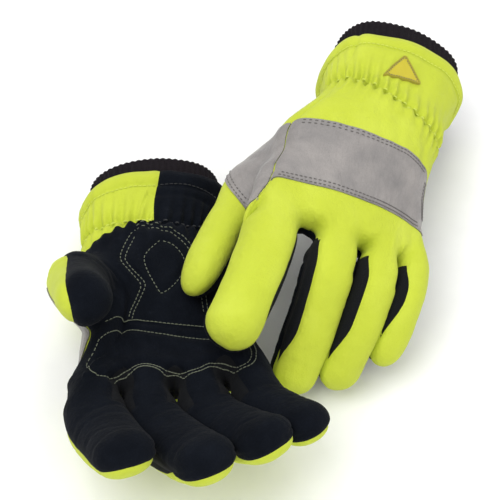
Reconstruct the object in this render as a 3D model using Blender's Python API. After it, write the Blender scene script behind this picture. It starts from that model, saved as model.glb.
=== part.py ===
"""A pair of insulated high-visibility work gloves, laid one over the other.

Both gloves are one pattern, mirrored. The pattern is laid out flat, in millimetres: x towards the
thumb side, y from the wrist seam towards the fingertips, z towards the back of the hand. Then it is
bent to the pose in which the glove lies, and placed. The right glove lies on its back, palm up. The left
glove lies over its little-finger side, palm down. World units are metres, +Z up, the table at z = 0.
"""

import math

import bmesh
import bpy
import numpy as np

# ---------------------------------------------------------------- driving dimensions (mm)
PANEL = 1.5  # bonded softshell and suede panels
LINER = 1.3  # pile liner, as worn in
LINER_AT = 2.6  # liner's outer face, below the panel's outer face
PAD = 1.4
TAPE = 0.6
GAP = 0.35
ON_TOP = 0.7  # a sewn-on piece stands this far off the panel below it
TAPE_PROUD = ON_TOP + TAPE

#        y     ulnar  radial  back  palm   of the hand and gauntlet sections
HAND = [(-30, -41.0, 41.5, 29.5, -28.5), (-21, -40.0, 40.5, 28.5, -27.5), (-10, -36.5, 38.0, 25.0, -25.0),
        (0, -34.5, 36.5, 22.5, -23.0), (12, -35.5, 40.5, 23.5, -24.0), (28, -37.5, 46.5, 22.5, -23.0),
        (45, -38.0, 50.5, 21.0, -21.5), (62, -41.0, 52.5, 19.0, -19.0), (82, -46.5, 55.0, 16.6, -15.8),
        (96, -50.5, 57.0, 15.4, -14.6), (117, -53.0, 57.0, 14.2, -13.6)]
KNIT = [(-46, -37.0, 37.5, 27.0, -26.0), (-32, -36.0, 36.5, 25.6, -24.8), (-18, -32.5, 33.0, 20.5, -20.5),
        (-8, -30.0, 31.5, 17.8, -18.0), (4, -29.5, 31.0, 17.0, -17.5)]
#        base x, base y, length, half width, half thickness
DIGITS = {"index": (42.9, 108.0, 83.0, 14.0, 13.6), "middle": (14.3, 111.0, 85.0, 14.0, 13.8),
          "ring": (-14.2, 109.5, 76.0, 13.8, 13.4), "little": (-41.6, 105.0, 58.0, 12.0, 12.0)}
CROTCH = (28.6, 0.1, -28.4)
THUMB_LEN, THUMB_W, THUMB_T = 74.0, 15.0, 14.5
THUMB_BASE_W, THUMB_BASE_T = 18.5, 18.0
DOME = 14.0
WRAP = 42.0  # how far the yellow back panel reaches round the thumb side at the wrist, in degrees
HINGE_TILT = 0.6  # a finger's hinge line leans with the finger by this share of its splay
SIDE_H = 0.42  # half height of a finger's side strip, as a share of its half thickness

# ---------------------------------------------------------------- how each glove lies
POSE = {
    "right": {"up": -1, "knuckle": 8, "wrist": -8, "arch": 0.0050, "yaw": 9, "pitch": -1, "roll": 4, "pos": (-62.05, 27.6, 24), "rest": 0.0,
              "index": (12, 28, -14), "middle": (10, 24, -22), "ring": (12, 20, -29), "little": (10, 14, -31),
              "tuck": 9.0, "hinge": -1, "slack": 0.0, "root": (52, 38, -17), "thumb": (22, 34, 4, 8)},
    "left": {"up": 1, "knuckle": 8, "wrist": 11, "arch": 0.0030, "yaw": -10, "pitch": -3, "roll": 22, "pos": (72.45, 103.6, 50), "rest": 0.0,
             "index": (-2, 12, 6), "middle": (25, 26, -7.5), "ring": (24, 26, -5.5), "little": (20, 22, -2),
             "tuck": -7.0, "hinge": 1, "slack": 0.53, "root": (62, 70, -15), "thumb": (11, -4, 2, 6)},
}


def sstep(t):
    t = np.clip(t, 0.0, 1.0)
    return t * t * (3 - 2 * t)


def table(rows, y):
    """Smooth values of a section table at y."""
    r = np.array(rows, float)
    out = []
    for k in range(1, r.shape[1]):
        v, x = r[:, k], r[:, 0]
        m = np.gradient(v, x)
        i = np.clip(np.searchsorted(x, y) - 1, 0, len(x) - 2)
        h = x[i + 1] - x[i]
        s = np.clip((y - x[i]) / h, 0, 1)
        out.append((1 + 2 * s) * (1 - s) ** 2 * v[i] + s * (1 - s) ** 2 * h * m[i]
                   + s * s * (3 - 2 * s) * v[i + 1] + s * s * (s - 1) * h * m[i + 1])
    return out


# ---------------------------------------------------------------- bending and placing
YS = np.linspace(-130, 260, 781)


def centreline(P):
    a = math.radians(P["knuckle"]) * sstep((YS - 48) / 62.0) - math.radians(P["wrist"]) * sstep((18 - YS) / 40.0)
    h = YS[1] - YS[0]
    dy, dz = np.cos(a), -np.sin(a)
    Y = np.concatenate([[0], np.cumsum((dy[1:] + dy[:-1]) / 2) * h])
    Z = np.concatenate([[0], np.cumsum((dz[1:] + dz[:-1]) / 2) * h])
    i0 = int(np.argmin(abs(YS - 20)))
    return Y - Y[i0] + 20, Z - Z[i0], a


def hand_warp(p, P):
    Y, Z, A = P["line"]
    x, y, z = p[..., 0], p[..., 1], p[..., 2]
    yy, zz, aa = (np.interp(y, YS, v) for v in (Y, Z, A))
    z = np.where(z < 0, z * (1 + P["slack"] * sstep((2 - y) / 26.0)), z)
    x = x - P["tuck"] * sstep((x - 8) / 40.0) * sstep((y - 10) / 40.0) * (1 - sstep((y - 80) / 28.0))
    k = P["arch"] * sstep((y - 5) / 60.0) + 1e-6
    xs, up = np.sin(x * k) * (1 / k + z), np.cos(x * k) * (1 / k + z) - 1 / k
    return np.stack([xs, yy + up * np.sin(aa), zz + up * np.cos(aa)], -1)


def hand_frame(b, P):
    """Where the flat point b goes, with the hand's own axes at its centreline there, as rows."""
    o = hand_warp(np.array(b, float), P)
    a = float(np.interp(b[1], YS, P["line"][2]))
    return o, np.array([[1, 0, 0], [0, math.cos(a), -math.sin(a)], [0, math.sin(a), math.cos(a)]])


def thumb_frame(P):
    b, e = np.array(P["root"]), 0.5 * np.eye(3)
    J = np.stack([hand_warp(b + e[i], P) - hand_warp(b - e[i], P) for i in range(3)])
    u, _, vt = np.linalg.svd(J)
    d, n = thumb_flat(P)
    return hand_warp(b, P), np.stack([np.cross(d, n), d, n]) @ (u @ vt)


def thumb_flat(P):
    """The thumb's direction and its nail side, in the flat pattern."""
    lat, pal = (math.radians(v) for v in P["thumb"][:2])
    d = np.array([math.sin(lat) * math.cos(pal), math.cos(lat) * math.cos(pal), -math.sin(pal)])
    n = np.array([0.72, 0.0, 0.70])
    n -= d * (n @ d)
    return d, n / np.linalg.norm(n)


def hand_bend(p, P):
    """The hand's bend, with the thumb's root kept true to its own straight tube."""
    d, n = thumb_flat(P)
    q = (p - np.array(P["root"])) @ np.stack([np.cross(d, n), d, n]).T
    r = np.hypot(q[..., 0], q[..., 2])
    w = (sstep((q[..., 1] + 22) / 16.0) * (1 - sstep((q[..., 1] - 12) / 22.0)) * (1 - sstep((r - 20) / 9.0)))[..., None]
    o, R = thumb_frame(P)
    return hand_warp(p, P) * (1 - w) + (o + q @ R) * w


def digit_frame(name, P):
    if name == "thumb":
        return thumb_frame(P)
    bx, by = DIGITS[name][:2]
    return hand_frame((bx, by, 0.0), P)


def digit_warp(name, a, t, c, P):
    """A digit's own straight coordinates (a towards the thumb side, t along it, c towards its back) bent."""
    if name == "thumb":
        f0, f1, sp, L = P["thumb"][2], P["thumb"][3], 0.0, THUMB_LEN
    else:
        f0, f1, sp = P[name]
        L = DIGITS[name][2]
    ts = np.linspace(-60, L + 30, 361)
    ang = math.radians(f0) * sstep(ts / 26.0) + math.radians(f1) * np.clip((ts - 14) / (L - 24), 0, None)
    spl = math.radians(sp) * sstep(ts / 30.0)
    d = np.stack([np.cos(ang) * np.sin(spl), np.cos(ang) * np.cos(spl), -np.sin(ang)], -1)
    path = np.concatenate([[np.zeros(3)], np.cumsum((d[1:] + d[:-1]) / 2 * (ts[1] - ts[0]), 0)])
    path -= np.array([np.interp(0, ts, path[:, k]) for k in range(3)])
    cx = np.stack([np.interp(t, ts, path[:, k]) for k in range(3)], -1)
    an, sl = np.interp(t, ts, ang), np.interp(t, ts, spl)
    av = np.stack([np.cos(sl), -np.sin(sl), 0 * sl], -1)
    nv = np.stack([np.sin(an) * np.sin(sl), np.sin(an) * np.cos(sl), np.cos(an)], -1)
    q = cx + a[..., None] * av + c[..., None] * nv
    o, R = digit_frame(name, P)
    return o + q @ R


def placing(P):
    y, p, r = (math.radians(P[k]) for k in ("yaw", "pitch", "roll"))
    Rz = np.array([[math.cos(y), -math.sin(y), 0], [math.sin(y), math.cos(y), 0], [0, 0, 1]])
    Rx = np.array([[1, 0, 0], [0, math.cos(p), -math.sin(p)], [0, math.sin(p), math.cos(p)]])
    Ry = np.array([[math.cos(r), 0, math.sin(r)], [0, 1, 0], [-math.sin(r), 0, math.cos(r)]])
    return Rz @ Rx @ Ry @ np.diag([-1.0, -1.0, float(P["up"])])


def place(p, P, off=0.0):
    """Hand space to the world, in mm. Cloth that would sink into the table lies flat on it, layer on layer."""
    w = p @ placing(P).T + np.array(P["pos"], float)
    w[..., 2] = np.maximum(w[..., 2], P["rest"] + off)
    return w


for _p in POSE.values():
    _p["line"] = centreline(_p)


# ---------------------------------------------------------------- sections
def ring_point(rows, th, y, off):
    """A point of a hand, gauntlet or knit section. th: 0 at the thumb side, 90 at the back, 180 at the little-finger side."""
    xl, xr, zt, zb = table(rows, y)
    c, s = np.cos(np.radians(th)), np.sin(np.radians(th))
    hw = (xr - xl) / 2 - off
    x = (xl + xr) / 2 + hw * np.sign(c) * np.abs(c) ** 0.86
    z = np.where(s > 0, zt - off, -(zb + off)) * np.sign(s) * np.abs(s) ** 0.80
    return x, z


def hand_end(x):
    """The line across the knuckles at which the fingers are set in."""
    a, b, c, d = (DIGITS[n][1] for n in ("index", "middle", "ring", "little"))
    edges = [(60, a), (CROTCH[0] + .1, a), (CROTCH[0] - 2, b), (CROTCH[1] + 2, b), (CROTCH[1] - 1, c),
             (CROTCH[2] + 4, c), (CROTCH[2] + .5, d), (-60, d)]
    xs, ys = zip(*sorted(edges))
    return np.interp(x, xs, ys)


def hand_grid(th0, th1, nth, y0, ys, off, rows=HAND, to_end=False):
    """Flat points of one face of a hand panel."""
    out = np.zeros((len(ys), nth, 3))
    for i, s in enumerate(ys):
        y = np.full(nth, float(s))
        wrap = WRAP * (1 - sstep(s / 0.42)) if to_end else 0.0
        th = np.linspace(th0 - wrap * (th0 < 90), th1 - wrap * (th1 > 300), nth)
        for _ in range(3):
            x, z = ring_point(rows, th, y, off)
            if to_end:
                y = y0 + (hand_end(x) - GAP - y0) * s
        lobes = np.zeros(nth)
        for cx in CROTCH:
            lobes = np.maximum(lobes, 1 - np.clip(abs(x - cx) / 7.0, 0, 1) ** 2)
        z = z * (1 - 0.30 * lobes * sstep((y - 88) / 20.0) * (rows is HAND))
        out[i] = np.stack([x, y, z], -1)
    return out


def digit_point(name, ph, t, off):
    """ph: 0 at the thumb side, 90 at the back, 180 at the far side, 270 at the front."""
    if name == "thumb":
        L = THUMB_LEN
        s = sstep(t / 30.0)
        w, h = THUMB_BASE_W + (THUMB_W - THUMB_BASE_W) * s, THUMB_BASE_T + (THUMB_T - THUMB_BASE_T) * s
    else:
        L, w, h = DIGITS[name][2:]
        s = 1 - 0.07 * sstep(t / L)
        w, h = w * s, h * s
    g = np.clip((t - (L - DOME)) / (DOME - off), 0, 0.9995)
    rho = np.sqrt(1 - g ** 2)
    c, s = np.cos(np.radians(ph)), np.sin(np.radians(ph))
    e = 0.90
    return (w - off) * rho * np.sign(c) * np.abs(c) ** e, (h - off) * rho * np.sign(s) * np.abs(s) ** e


def digit_rows(name, off, n=4, share=0.9):
    L = THUMB_LEN if name == "thumb" else DIGITS[name][2]
    dome = [L - DOME + (DOME - off) * math.sin(math.radians(v)) for v in ((26, 42, 55) if name in ("middle", "ring") else (28, 52, 76))]
    return list(np.linspace(GAP, L - DOME, n)) + dome


# ---------------------------------------------------------------- mesh makers
def slab(outer, inner):
    """A closed panel between two grids of points: its outer and its inner face."""
    n, m = outer.shape[:2]
    v = np.concatenate([outer.reshape(-1, 3), inner.reshape(-1, 3)])
    o, f = n * m, []
    for i in range(n - 1):
        for j in range(m - 1):
            a, b, c, d = i * m + j, i * m + j + 1, (i + 1) * m + j + 1, (i + 1) * m + j
            f += [(a, b, c, d), (o + d, o + c, o + b, o + a)]
    rim = ([(0, j) for j in range(m)] + [(i, m - 1) for i in range(1, n)]
           + [(n - 1, j) for j in range(m - 2, -1, -1)] + [(i, 0) for i in range(n - 2, 0, -1)])
    for (i, j), (k, l) in zip(rim, rim[1:] + rim[:1]):
        a, b = i * m + j, k * m + l
        f.append((b, a, o + a, o + b))
    return v, f


def sleeve(outer, inner, closed_tip=None):
    """A tube of rings, open at both ends, or closed at its last ring by two tip points."""
    n, m = outer.shape[:2]
    v = [outer.reshape(-1, 3), inner.reshape(-1, 3)]
    o, f = n * m, []
    for i in range(n - 1):
        for j in range(m):
            a, b, c, d = i * m + j, i * m + (j + 1) % m, (i + 1) * m + (j + 1) % m, (i + 1) * m + j
            f += [(a, b, c, d), (o + d, o + c, o + b, o + a)]
    for j in range(m):
        a, b = j, (j + 1) % m
        f.append((b, a, o + a, o + b))
    last = (n - 1) * m
    if closed_tip is None:
        for j in range(m):
            a, b = last + j, last + (j + 1) % m
            f.append((a, b, o + b, o + a))
    else:
        v.append(np.array(closed_tip, float))
        for j in range(m):
            a, b = last + j, last + (j + 1) % m
            f += [(a, b, 2 * o), (o + b, o + a, 2 * o + 1)]
    return np.concatenate(v), f


def solid(v, f):
    """The same body, its faces turned outwards."""
    tri = np.array([(q[0], q[i], q[i + 1]) for q in f for i in range(1, len(q) - 1)])
    vol = np.einsum("ij,ij->i", v[tri[:, 0]], np.cross(v[tri[:, 1]], v[tri[:, 2]])).sum()
    return v, (f if vol > 0 else [tuple(reversed(q)) for q in f])


def mesh_of(name, v, f):
    me = bpy.data.meshes.new(name)
    me.from_pydata([tuple(p) for p in v], [], f)
    me.update()
    bm = bmesh.new()
    bm.from_mesh(me)
    bmesh.ops.triangulate(bm, faces=bm.faces[:], quad_method="SHORT_EDGE")
    bmesh.ops.recalc_face_normals(bm, faces=bm.faces[:])
    bm.to_mesh(me)
    bm.free()
    return me


def boolean(v, f, steps):
    """The flat body after cuts and joins with other flat bodies, done before it is bent."""
    base = bpy.data.objects.new("flat_base", mesh_of("flat_base", *solid(v * 0.001, f)))
    bpy.context.scene.collection.objects.link(base)
    helpers = []
    for i, (operation, hv, hf) in enumerate(steps):
        helper = bpy.data.objects.new(f"flat_helper_{i}", mesh_of(f"flat_helper_{i}", *solid(hv * 0.001, hf)))
        helper.hide_render, helper.display_type = True, "WIRE"
        bpy.context.scene.collection.objects.link(helper)
        modifier = base.modifiers.new(operation, "BOOLEAN")
        modifier.operation, modifier.object, modifier.solver = operation, helper, "MANIFOLD"
        helpers.append(helper)
    bpy.context.view_layer.update()
    evaluated = base.evaluated_get(bpy.context.evaluated_depsgraph_get())
    me = evaluated.to_mesh()
    me.calc_loop_triangles()
    pts = np.array([tuple(p.co) for p in me.vertices]) * 1000.0
    tris = np.array([tuple(t.vertices) for t in me.loop_triangles])
    evaluated.to_mesh_clear()
    label = np.arange(len(pts))  # keep the largest connected body
    while True:
        low = label[tris].min(1)
        new = label.copy()
        np.minimum.at(new, tris.ravel(), np.repeat(low, 3))
        if (new == label).all():
            break
        label = new
    ids, count = np.unique(label[tris[:, 0]], return_counts=True)
    tris = tris[label[tris[:, 0]] == ids[np.argmax(count)]]
    used, tris = np.unique(tris, return_inverse=True)
    pts, tris = pts[used], [tuple(int(i) for i in t) for t in tris.reshape(-1, 3)]
    for helper in helpers + [base]:
        bpy.data.objects.remove(helper, do_unlink=True)
    return pts, tris


MATERIALS = {
    "shell_yellow": ((0.66, 0.80, 0.06), 0.75, 0.0), "suede_black": ((0.012, 0.015, 0.022), 0.85, 0.0),
    "side_black": ((0.008, 0.008, 0.009), 0.85, 0.0), "reflective_grey": ((0.36, 0.33, 0.32), 0.45, 0.2),
    "knit_black": ((0.022, 0.016, 0.022), 0.9, 0.0), "liner_fleece": ((0.06, 0.06, 0.065), 0.95, 0.0),
    "elastic_white": ((0.6, 0.6, 0.58), 0.8, 0.0),
}


def material(slot):
    name = slot
    mat = bpy.data.materials.get(name)
    if mat is None:
        mat = bpy.data.materials.new(name)
        mat.use_nodes = True
        bsdf = mat.node_tree.nodes["Principled BSDF"]
        colour, rough, metal = MATERIALS[slot]
        bsdf.inputs["Base Color"].default_value = (*colour, 1)
        bsdf.inputs["Roughness"].default_value = rough
        bsdf.inputs["Metallic"].default_value = metal
        mat.diffuse_color = (*colour, 1)
    return mat


def add(name, world_mm, f, slot, parent=None):
    """An object from world points in mm, with its own origin at its parent's place."""
    base = np.array(parent.location) if parent else np.zeros(3)
    v, f = solid(world_mm * 0.001 - base, f)
    me = mesh_of(name, v, f)
    me.materials.append(material(slot))
    me.shade_smooth()
    me.set_sharp_from_angle(angle=math.radians(40))
    obj = bpy.data.objects.new(name, me)
    bpy.context.scene.collection.objects.link(obj)
    if parent:
        obj.parent = parent
    return obj


def empty(name, at):
    e = bpy.data.objects.new(name, None)
    e.empty_display_size = 0.01
    e.location = at
    bpy.context.scene.collection.objects.link(e)
    return e


# ---------------------------------------------------------------- building one glove
HAND_S = [0.0, 0.14, 0.30, 0.46, 0.62, 0.76, 0.88, 1.0]
FULL = np.arange(0, 360, 22.5)


def layered(grid_fn, off0, off1, P, warp, to_solid=slab, tips=None):
    """A bent panel whose outer face is off0 and inner face is off1 below the pattern surface."""
    o = place(warp(grid_fn(off0)), P, off0)
    i = place(warp(grid_fn(off1)), P, off1)
    return to_solid(o, i) if tips is None else to_solid(o, i, tips)


def thumb_tube(P, off, t0, t1, rings=5, n=16, grow=0.0):
    """A closed plug along the thumb's root, in the flat pattern."""
    d, nn = thumb_flat(P)
    a = np.cross(d, nn)
    out = []
    for t in np.linspace(t0, t1, rings):
        flare = 1 - 0.45 * sstep((-t - 6) / 26.0)
        w, h = (THUMB_BASE_W - off + grow) * flare, (THUMB_BASE_T - off + grow) * flare
        ph = np.radians(np.arange(n) * 360.0 / n)
        c, s = np.cos(ph), np.sin(ph)
        e = 0.90
        inward = np.array([9.0 * sstep(-t / 30.0), 0, 0])
        out.append(np.array(P["root"]) + d * t - inward + np.outer(w * np.sign(c) * np.abs(c) ** e, a)
                   + np.outer(h * np.sign(s) * np.abs(s) ** e, nn))
    v = np.concatenate(out)
    f = [(i * n + j, i * n + (j + 1) % n, (i + 1) * n + (j + 1) % n, (i + 1) * n + j) for i in range(rings - 1) for j in range(n)]
    f += [tuple(reversed(range(n))), tuple(range((rings - 1) * n, rings * n))]
    return v, f


def hand_fill(off, y0=-4.0):
    """The room inside the hand, as one closed flat body."""
    th = np.arange(0, 360, 15.0)
    rings = [hand_grid(0, 345, 24, y0, [y], off)[0] for y in (y0, 12, 28, 45, 60, 75, 92)]
    n = 24
    v = np.concatenate(rings)
    f = [(i * n + j, i * n + (j + 1) % n, (i + 1) * n + (j + 1) % n, (i + 1) * n + j) for i in range(len(rings) - 1) for j in range(n)]
    f += [tuple(reversed(range(n))), tuple(range((len(rings) - 1) * n, len(rings) * n))]
    return v, f


def flat_panel(th0, th1, nth, off0, off1):
    return slab(hand_grid(th0, th1, nth, GAP, HAND_S, off0, to_end=True), hand_grid(th0, th1, nth, GAP, HAND_S, off1, to_end=True))


def depth(pts):
    """How far a flat point lies below the pattern's outer face, roughly."""
    xl, xr, zt, zb = table(HAND, pts[:, 1])
    hz = np.where(pts[:, 2] > 0, zt, -zb)
    r = np.sqrt((pts[:, 2] / hz) ** 2 + ((pts[:, 0] - (xl + xr) / 2) / ((xr - xl) / 2)) ** 2)
    return np.clip((1 - r) * hz, 0, 6)


def glove(side, P):
    hand = empty(side + "_hand_origin", np.array(P["pos"]) * 0.001)
    warp = lambda g: hand_bend(g, P)
    made = {}

    def put(name, vf, slot, parent=hand):
        made[name] = add(f"{side}_{name}", vf[0], vf[1], slot, parent)

    # hand: a back and a palm panel, the thumb let into their seam
    plug_wide = thumb_tube(P, -GAP - 0.01, -30, 4)
    ahead = thumb_tube(P, -GAP - 0.8, 0, 42, 8)
    bore = thumb_tube(P, PANEL, -30, 16)
    room = hand_fill(0.7)
    collar = thumb_tube(P, 0.0, -28, -GAP)
    pv, pf = flat_panel(181, 359, 15, 0.0, PANEL)
    cv, cf = boolean(collar[0], collar[1], [("DIFFERENCE", *hand_fill(0.9)), ])
    pv, pf = boolean(pv, pf, [("UNION", cv, cf), ("DIFFERENCE", *bore), ("DIFFERENCE", *ahead)])
    put("hand_palm", (place(hand_bend(pv, P), P, depth(pv)), pf), "suede_black")
    bv, bf = flat_panel(1.6, 178.4, 15, 0.0, PANEL)
    bv, bf = boolean(bv, bf, [("DIFFERENCE", *thumb_tube(P, -GAP - 0.7, -32, 4)), ("DIFFERENCE", *ahead)])
    put("hand_back", (place(hand_bend(bv, P), P, depth(bv)), bf), "shell_yellow")
    lo, li = (np.stack([hand_grid(90, 435, 24, 3.0, [s], off, to_end=True)[0] for s in (0, .14, .30, .46, .62, .76, .88, .985)]) for off in (LINER_AT + 0.5, LINER_AT + 0.5 + LINER))
    lv, lf = sleeve(lo, li)
    lv, lf = boolean(lv, lf, [("DIFFERENCE", *plug_wide), ("DIFFERENCE", *ahead)])
    put("hand_liner", (place(hand_bend(lv, P), P, depth(lv)), lf), "liner_fleece")

    # trim sewn on the outside of the hand
    ys = lambda a, b, n: list(np.linspace(a, b, n))
    skin = lambda th0, th1, n, y, o0, o1, rows=HAND: layered(lambda off: hand_grid(th0, th1, n, 0, y, off, rows), o0, o1, P, warp)
    put("reflective_band", skin(42, 172, 11, ys(37, 79, 4), -TAPE_PROUD, -ON_TOP), "reflective_grey")
    put("reflective_band_side", skin(27, 41, 3, ys(37, 79, 4), -TAPE_PROUD, -ON_TOP), "reflective_grey")
    put("knuckle_pad", skin(200, 318, 9, ys(82, 99, 3), -ON_TOP - 0.5 - PAD, -ON_TOP - 0.5), "suede_black")
    put("heel_pad", skin(196, 262, 6, ys(6, 60, 5), -ON_TOP - PAD, -ON_TOP), "suede_black")

    # gauntlet, wrist elastic and knitted inner cuff
    put("cuff_back", skin(-94, 179, 16, ys(-28, -GAP, 4), 0.0, PANEL), "shell_yellow")
    put("cuff_palm", skin(181, 265.3, 7, ys(-28, -GAP, 4), 0.0, PANEL), "suede_black")
    ring = lambda y, off, rows: np.stack([hand_grid(0, 337.5, 16, 0, [v], off, rows)[0] for v in y])
    tube = lambda y, o0, o1, rows: sleeve(*(place(hand_bend(ring(y, off, rows), P), P, off if rows is HAND else 6 + off) for off in (o0, o1)))
    put("wrist_elastic", tube(ys(-5, 2.2, 2), LINER_AT, LINER_AT + 0.8, HAND), "elastic_white")
    put("knit_cuff", tube(ys(-42, 2.0, 5), 0.0, 2.2, KNIT), "knit_black")

    # digits
    for name in ("thumb", "index", "middle", "ring", "little"):
        o, R = digit_frame(name, P)
        h0 = THUMB_BASE_T if name == "thumb" else DIGITS[name][4]
        drop = 0.8 if name == "thumb" else 0.9 + DIGITS[name][3] * math.sin(abs(DIGITS[name][0]) * P["arch"])
        side_of_hinge = P["hinge"] * (h0 + drop)
        at = place((o + np.array([0, 0, side_of_hinge]) @ R)[None], P, -50)[0]
        turn = 0.0 if name == "thumb" else math.radians(HINGE_TILT * P[name][2])
        root = empty(f"{side}_{name}_axis", at * 0.001)
        root["axis"] = [float(x) for x in (np.array([math.cos(turn), -math.sin(turn), 0]) @ R @ placing(P).T)]
        dw = lambda g: digit_warp(name, g[..., 0], g[..., 1], g[..., 2], P)

        def face(th_of, n, off, rows):
            out = np.zeros((len(rows), n, 3))
            for i, t in enumerate(rows):
                lo_, hi_ = th_of(t, off)
                ph = np.linspace(lo_, hi_, n)
                a, c = digit_point(name, ph, np.full(n, t), off)
                out[i] = np.stack([a, np.full(n, t), c], -1)
            return out

        L = THUMB_LEN if name == "thumb" else DIGITS[name][2]

        def cut(level, t, off):
            """Angle at which a seam line of this height crosses the section at t."""
            g = np.clip((t - (L - DOME)) / (DOME - off), 0, 0.9995)
            return math.degrees(math.asin(min(0.985, (level / math.sqrt(1 - g * g)) ** (1 / 0.9)))) if level > 0 else 0.8

        radial = 0.0 if name in ("index", "thumb") else SIDE_H
        ulnar = 0.0 if name in ("little", "thumb") else SIDE_H
        back = lambda t, off: (cut(radial, t, off), 180 - cut(ulnar, t, off))
        front = lambda t, off: (180 + cut(ulnar, t, off), 360 - cut(radial, t, off))
        rows0, rows1 = digit_rows(name, 0.0), digit_rows(name, PANEL)
        for part, fn, slot in (("back", back, "shell_yellow"), ("front", front, "suede_black")):
            put(f"{name}_{part}", slab(place(dw(face(fn, 6, 0.0, rows0)), P, 0.0), place(dw(face(fn, 6, PANEL, rows1)), P, PANEL)), slot, root)
        ph = lambda t, off: (0.0, 330.0)
        lr0, lr1 = digit_rows(name, LINER_AT), digit_rows(name, LINER_AT + LINER)
        o_, i_ = place(dw(face(ph, 12, LINER_AT, lr0)), P, LINER_AT), place(dw(face(ph, 12, LINER_AT + LINER, lr1)), P, LINER_AT + LINER)
        tip = dw(np.array([[0, L - LINER_AT - 0.2, 0], [0, L - LINER_AT - LINER - 0.2, 0.0]]))
        put(f"{name}_liner", sleeve(o_, i_, place(tip, P, 0)), "liner_fleece", root)

        # the side strip between back and front: a ribbon up one side, over the tip and down the other
        if name == "thumb":
            continue
        w0, h0 = DIGITS[name][3:]

        def ribbon(off):
            path = []
            sides = (1, -1) if name in ("middle", "ring") else ((-1,) if name == "index" else (1,))
            straight = list(np.linspace(GAP, L - DOME, 4))
            arc = (22, 45, 67) if len(sides) == 2 else (22, 45, 62)
            one = [(t, 0.0) for t in straight] + [(None, g) for g in arc]
            rows = [(sides[0], *r) for r in one]
            if len(sides) == 2:
                rows += [(sides[0], None, 90.0)] + [(sides[1], *r) for r in reversed(one)]
            out = np.zeros((len(rows), 4, 3))
            for i, (sg, t, g) in enumerate(rows):
                k = SIDE_H - 0.08 + (0.0 if t is not None else 0.08 * (g / 90.0) ** 2)
                for j, zeta in enumerate(np.linspace(-k, k, 4)):
                    tt = t if t is not None else L - DOME + (DOME - off) * math.sin(math.radians(g)) * math.sqrt(1 - zeta * zeta)
                    s = 1 - 0.07 * sstep(tt / L)
                    rr = 1.0 if t is not None else math.cos(math.radians(g))
                    wz = (1 - zeta ** 2 / 0.98) ** 0.5 if t is not None else math.sqrt(1 - zeta * zeta)
                    out[i, j] = (sg * (w0 * s - off) * wz * rr, tt, zeta * (h0 * s - off))
            return out

        put(f"{name}_fourchette", slab(place(dw(ribbon(0.0)), P, 0.0), place(dw(ribbon(PANEL)), P, PANEL)), "side_black", root)
    return made


for obj in list(bpy.data.objects):
    bpy.data.objects.remove(obj, do_unlink=True)

for side_name, pose in POSE.items():
    glove(side_name, pose)
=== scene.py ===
"""The look of a pair of insulated high-visibility work gloves.

Each glove is drawn as one swollen form in its own flat pattern space (millimetres: x towards the thumb
side, y from the wrist to the fingertips, z towards the back of the hand), with its digits spread. That form
is meshed, cut along its seams, puffed between them, and bent into the pose the glove lies in.
"""

import math

import bpy
import mathutils
import numpy as np
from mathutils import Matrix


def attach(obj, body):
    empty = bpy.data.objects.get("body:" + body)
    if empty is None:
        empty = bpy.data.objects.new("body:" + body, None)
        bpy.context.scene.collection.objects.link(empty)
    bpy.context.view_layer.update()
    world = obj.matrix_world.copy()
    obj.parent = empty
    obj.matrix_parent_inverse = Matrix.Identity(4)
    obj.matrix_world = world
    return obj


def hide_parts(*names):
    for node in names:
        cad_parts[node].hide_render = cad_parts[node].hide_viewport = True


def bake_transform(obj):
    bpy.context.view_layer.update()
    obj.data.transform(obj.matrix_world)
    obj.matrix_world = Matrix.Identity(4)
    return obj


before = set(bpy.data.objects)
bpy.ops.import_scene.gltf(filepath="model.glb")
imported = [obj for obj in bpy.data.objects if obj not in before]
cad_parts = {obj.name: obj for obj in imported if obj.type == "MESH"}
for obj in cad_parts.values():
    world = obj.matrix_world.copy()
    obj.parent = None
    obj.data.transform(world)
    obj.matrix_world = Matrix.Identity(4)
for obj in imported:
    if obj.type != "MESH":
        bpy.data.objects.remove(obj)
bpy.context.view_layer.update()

# ------------------------------------------------------------------ pattern (mm)
HAND = [(-30, -41.0, 41.5, 29.5, -28.5), (-21, -40.0, 40.5, 28.5, -27.5), (-10, -36.5, 38.0, 25.0, -25.0),
        (0, -34.5, 36.5, 22.5, -23.0), (12, -35.5, 40.5, 23.5, -24.0), (28, -37.5, 46.5, 22.5, -23.0),
        (45, -38.0, 50.5, 21.0, -21.5), (62, -41.0, 52.5, 19.0, -19.0), (82, -46.5, 55.0, 16.6, -15.8),
        (96, -50.5, 57.0, 15.4, -14.6), (117, -53.0, 57.0, 14.2, -13.6)]
KNIT = [(-46, -37.0, 37.5, 27.0, -26.0), (-32, -36.0, 36.5, 25.6, -24.8), (-18, -32.5, 33.0, 20.5, -20.5),
        (-8, -30.0, 31.5, 17.8, -18.0), (4, -29.5, 31.0, 17.0, -17.5)]
DIGITS = {"index": (42.9, 108.0, 83.0, 14.0, 13.6), "middle": (14.3, 111.0, 85.0, 14.0, 13.8),
          "ring": (-14.2, 109.5, 76.0, 13.8, 13.4), "little": (-41.6, 105.0, 58.0, 12.0, 12.0)}
FINGERS = ("index", "middle", "ring", "little")
THUMB_LEN = 74.0
DOME = 14.0
SPREAD = 1.46  # the fingers stand this much further apart while the form is meshed
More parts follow.
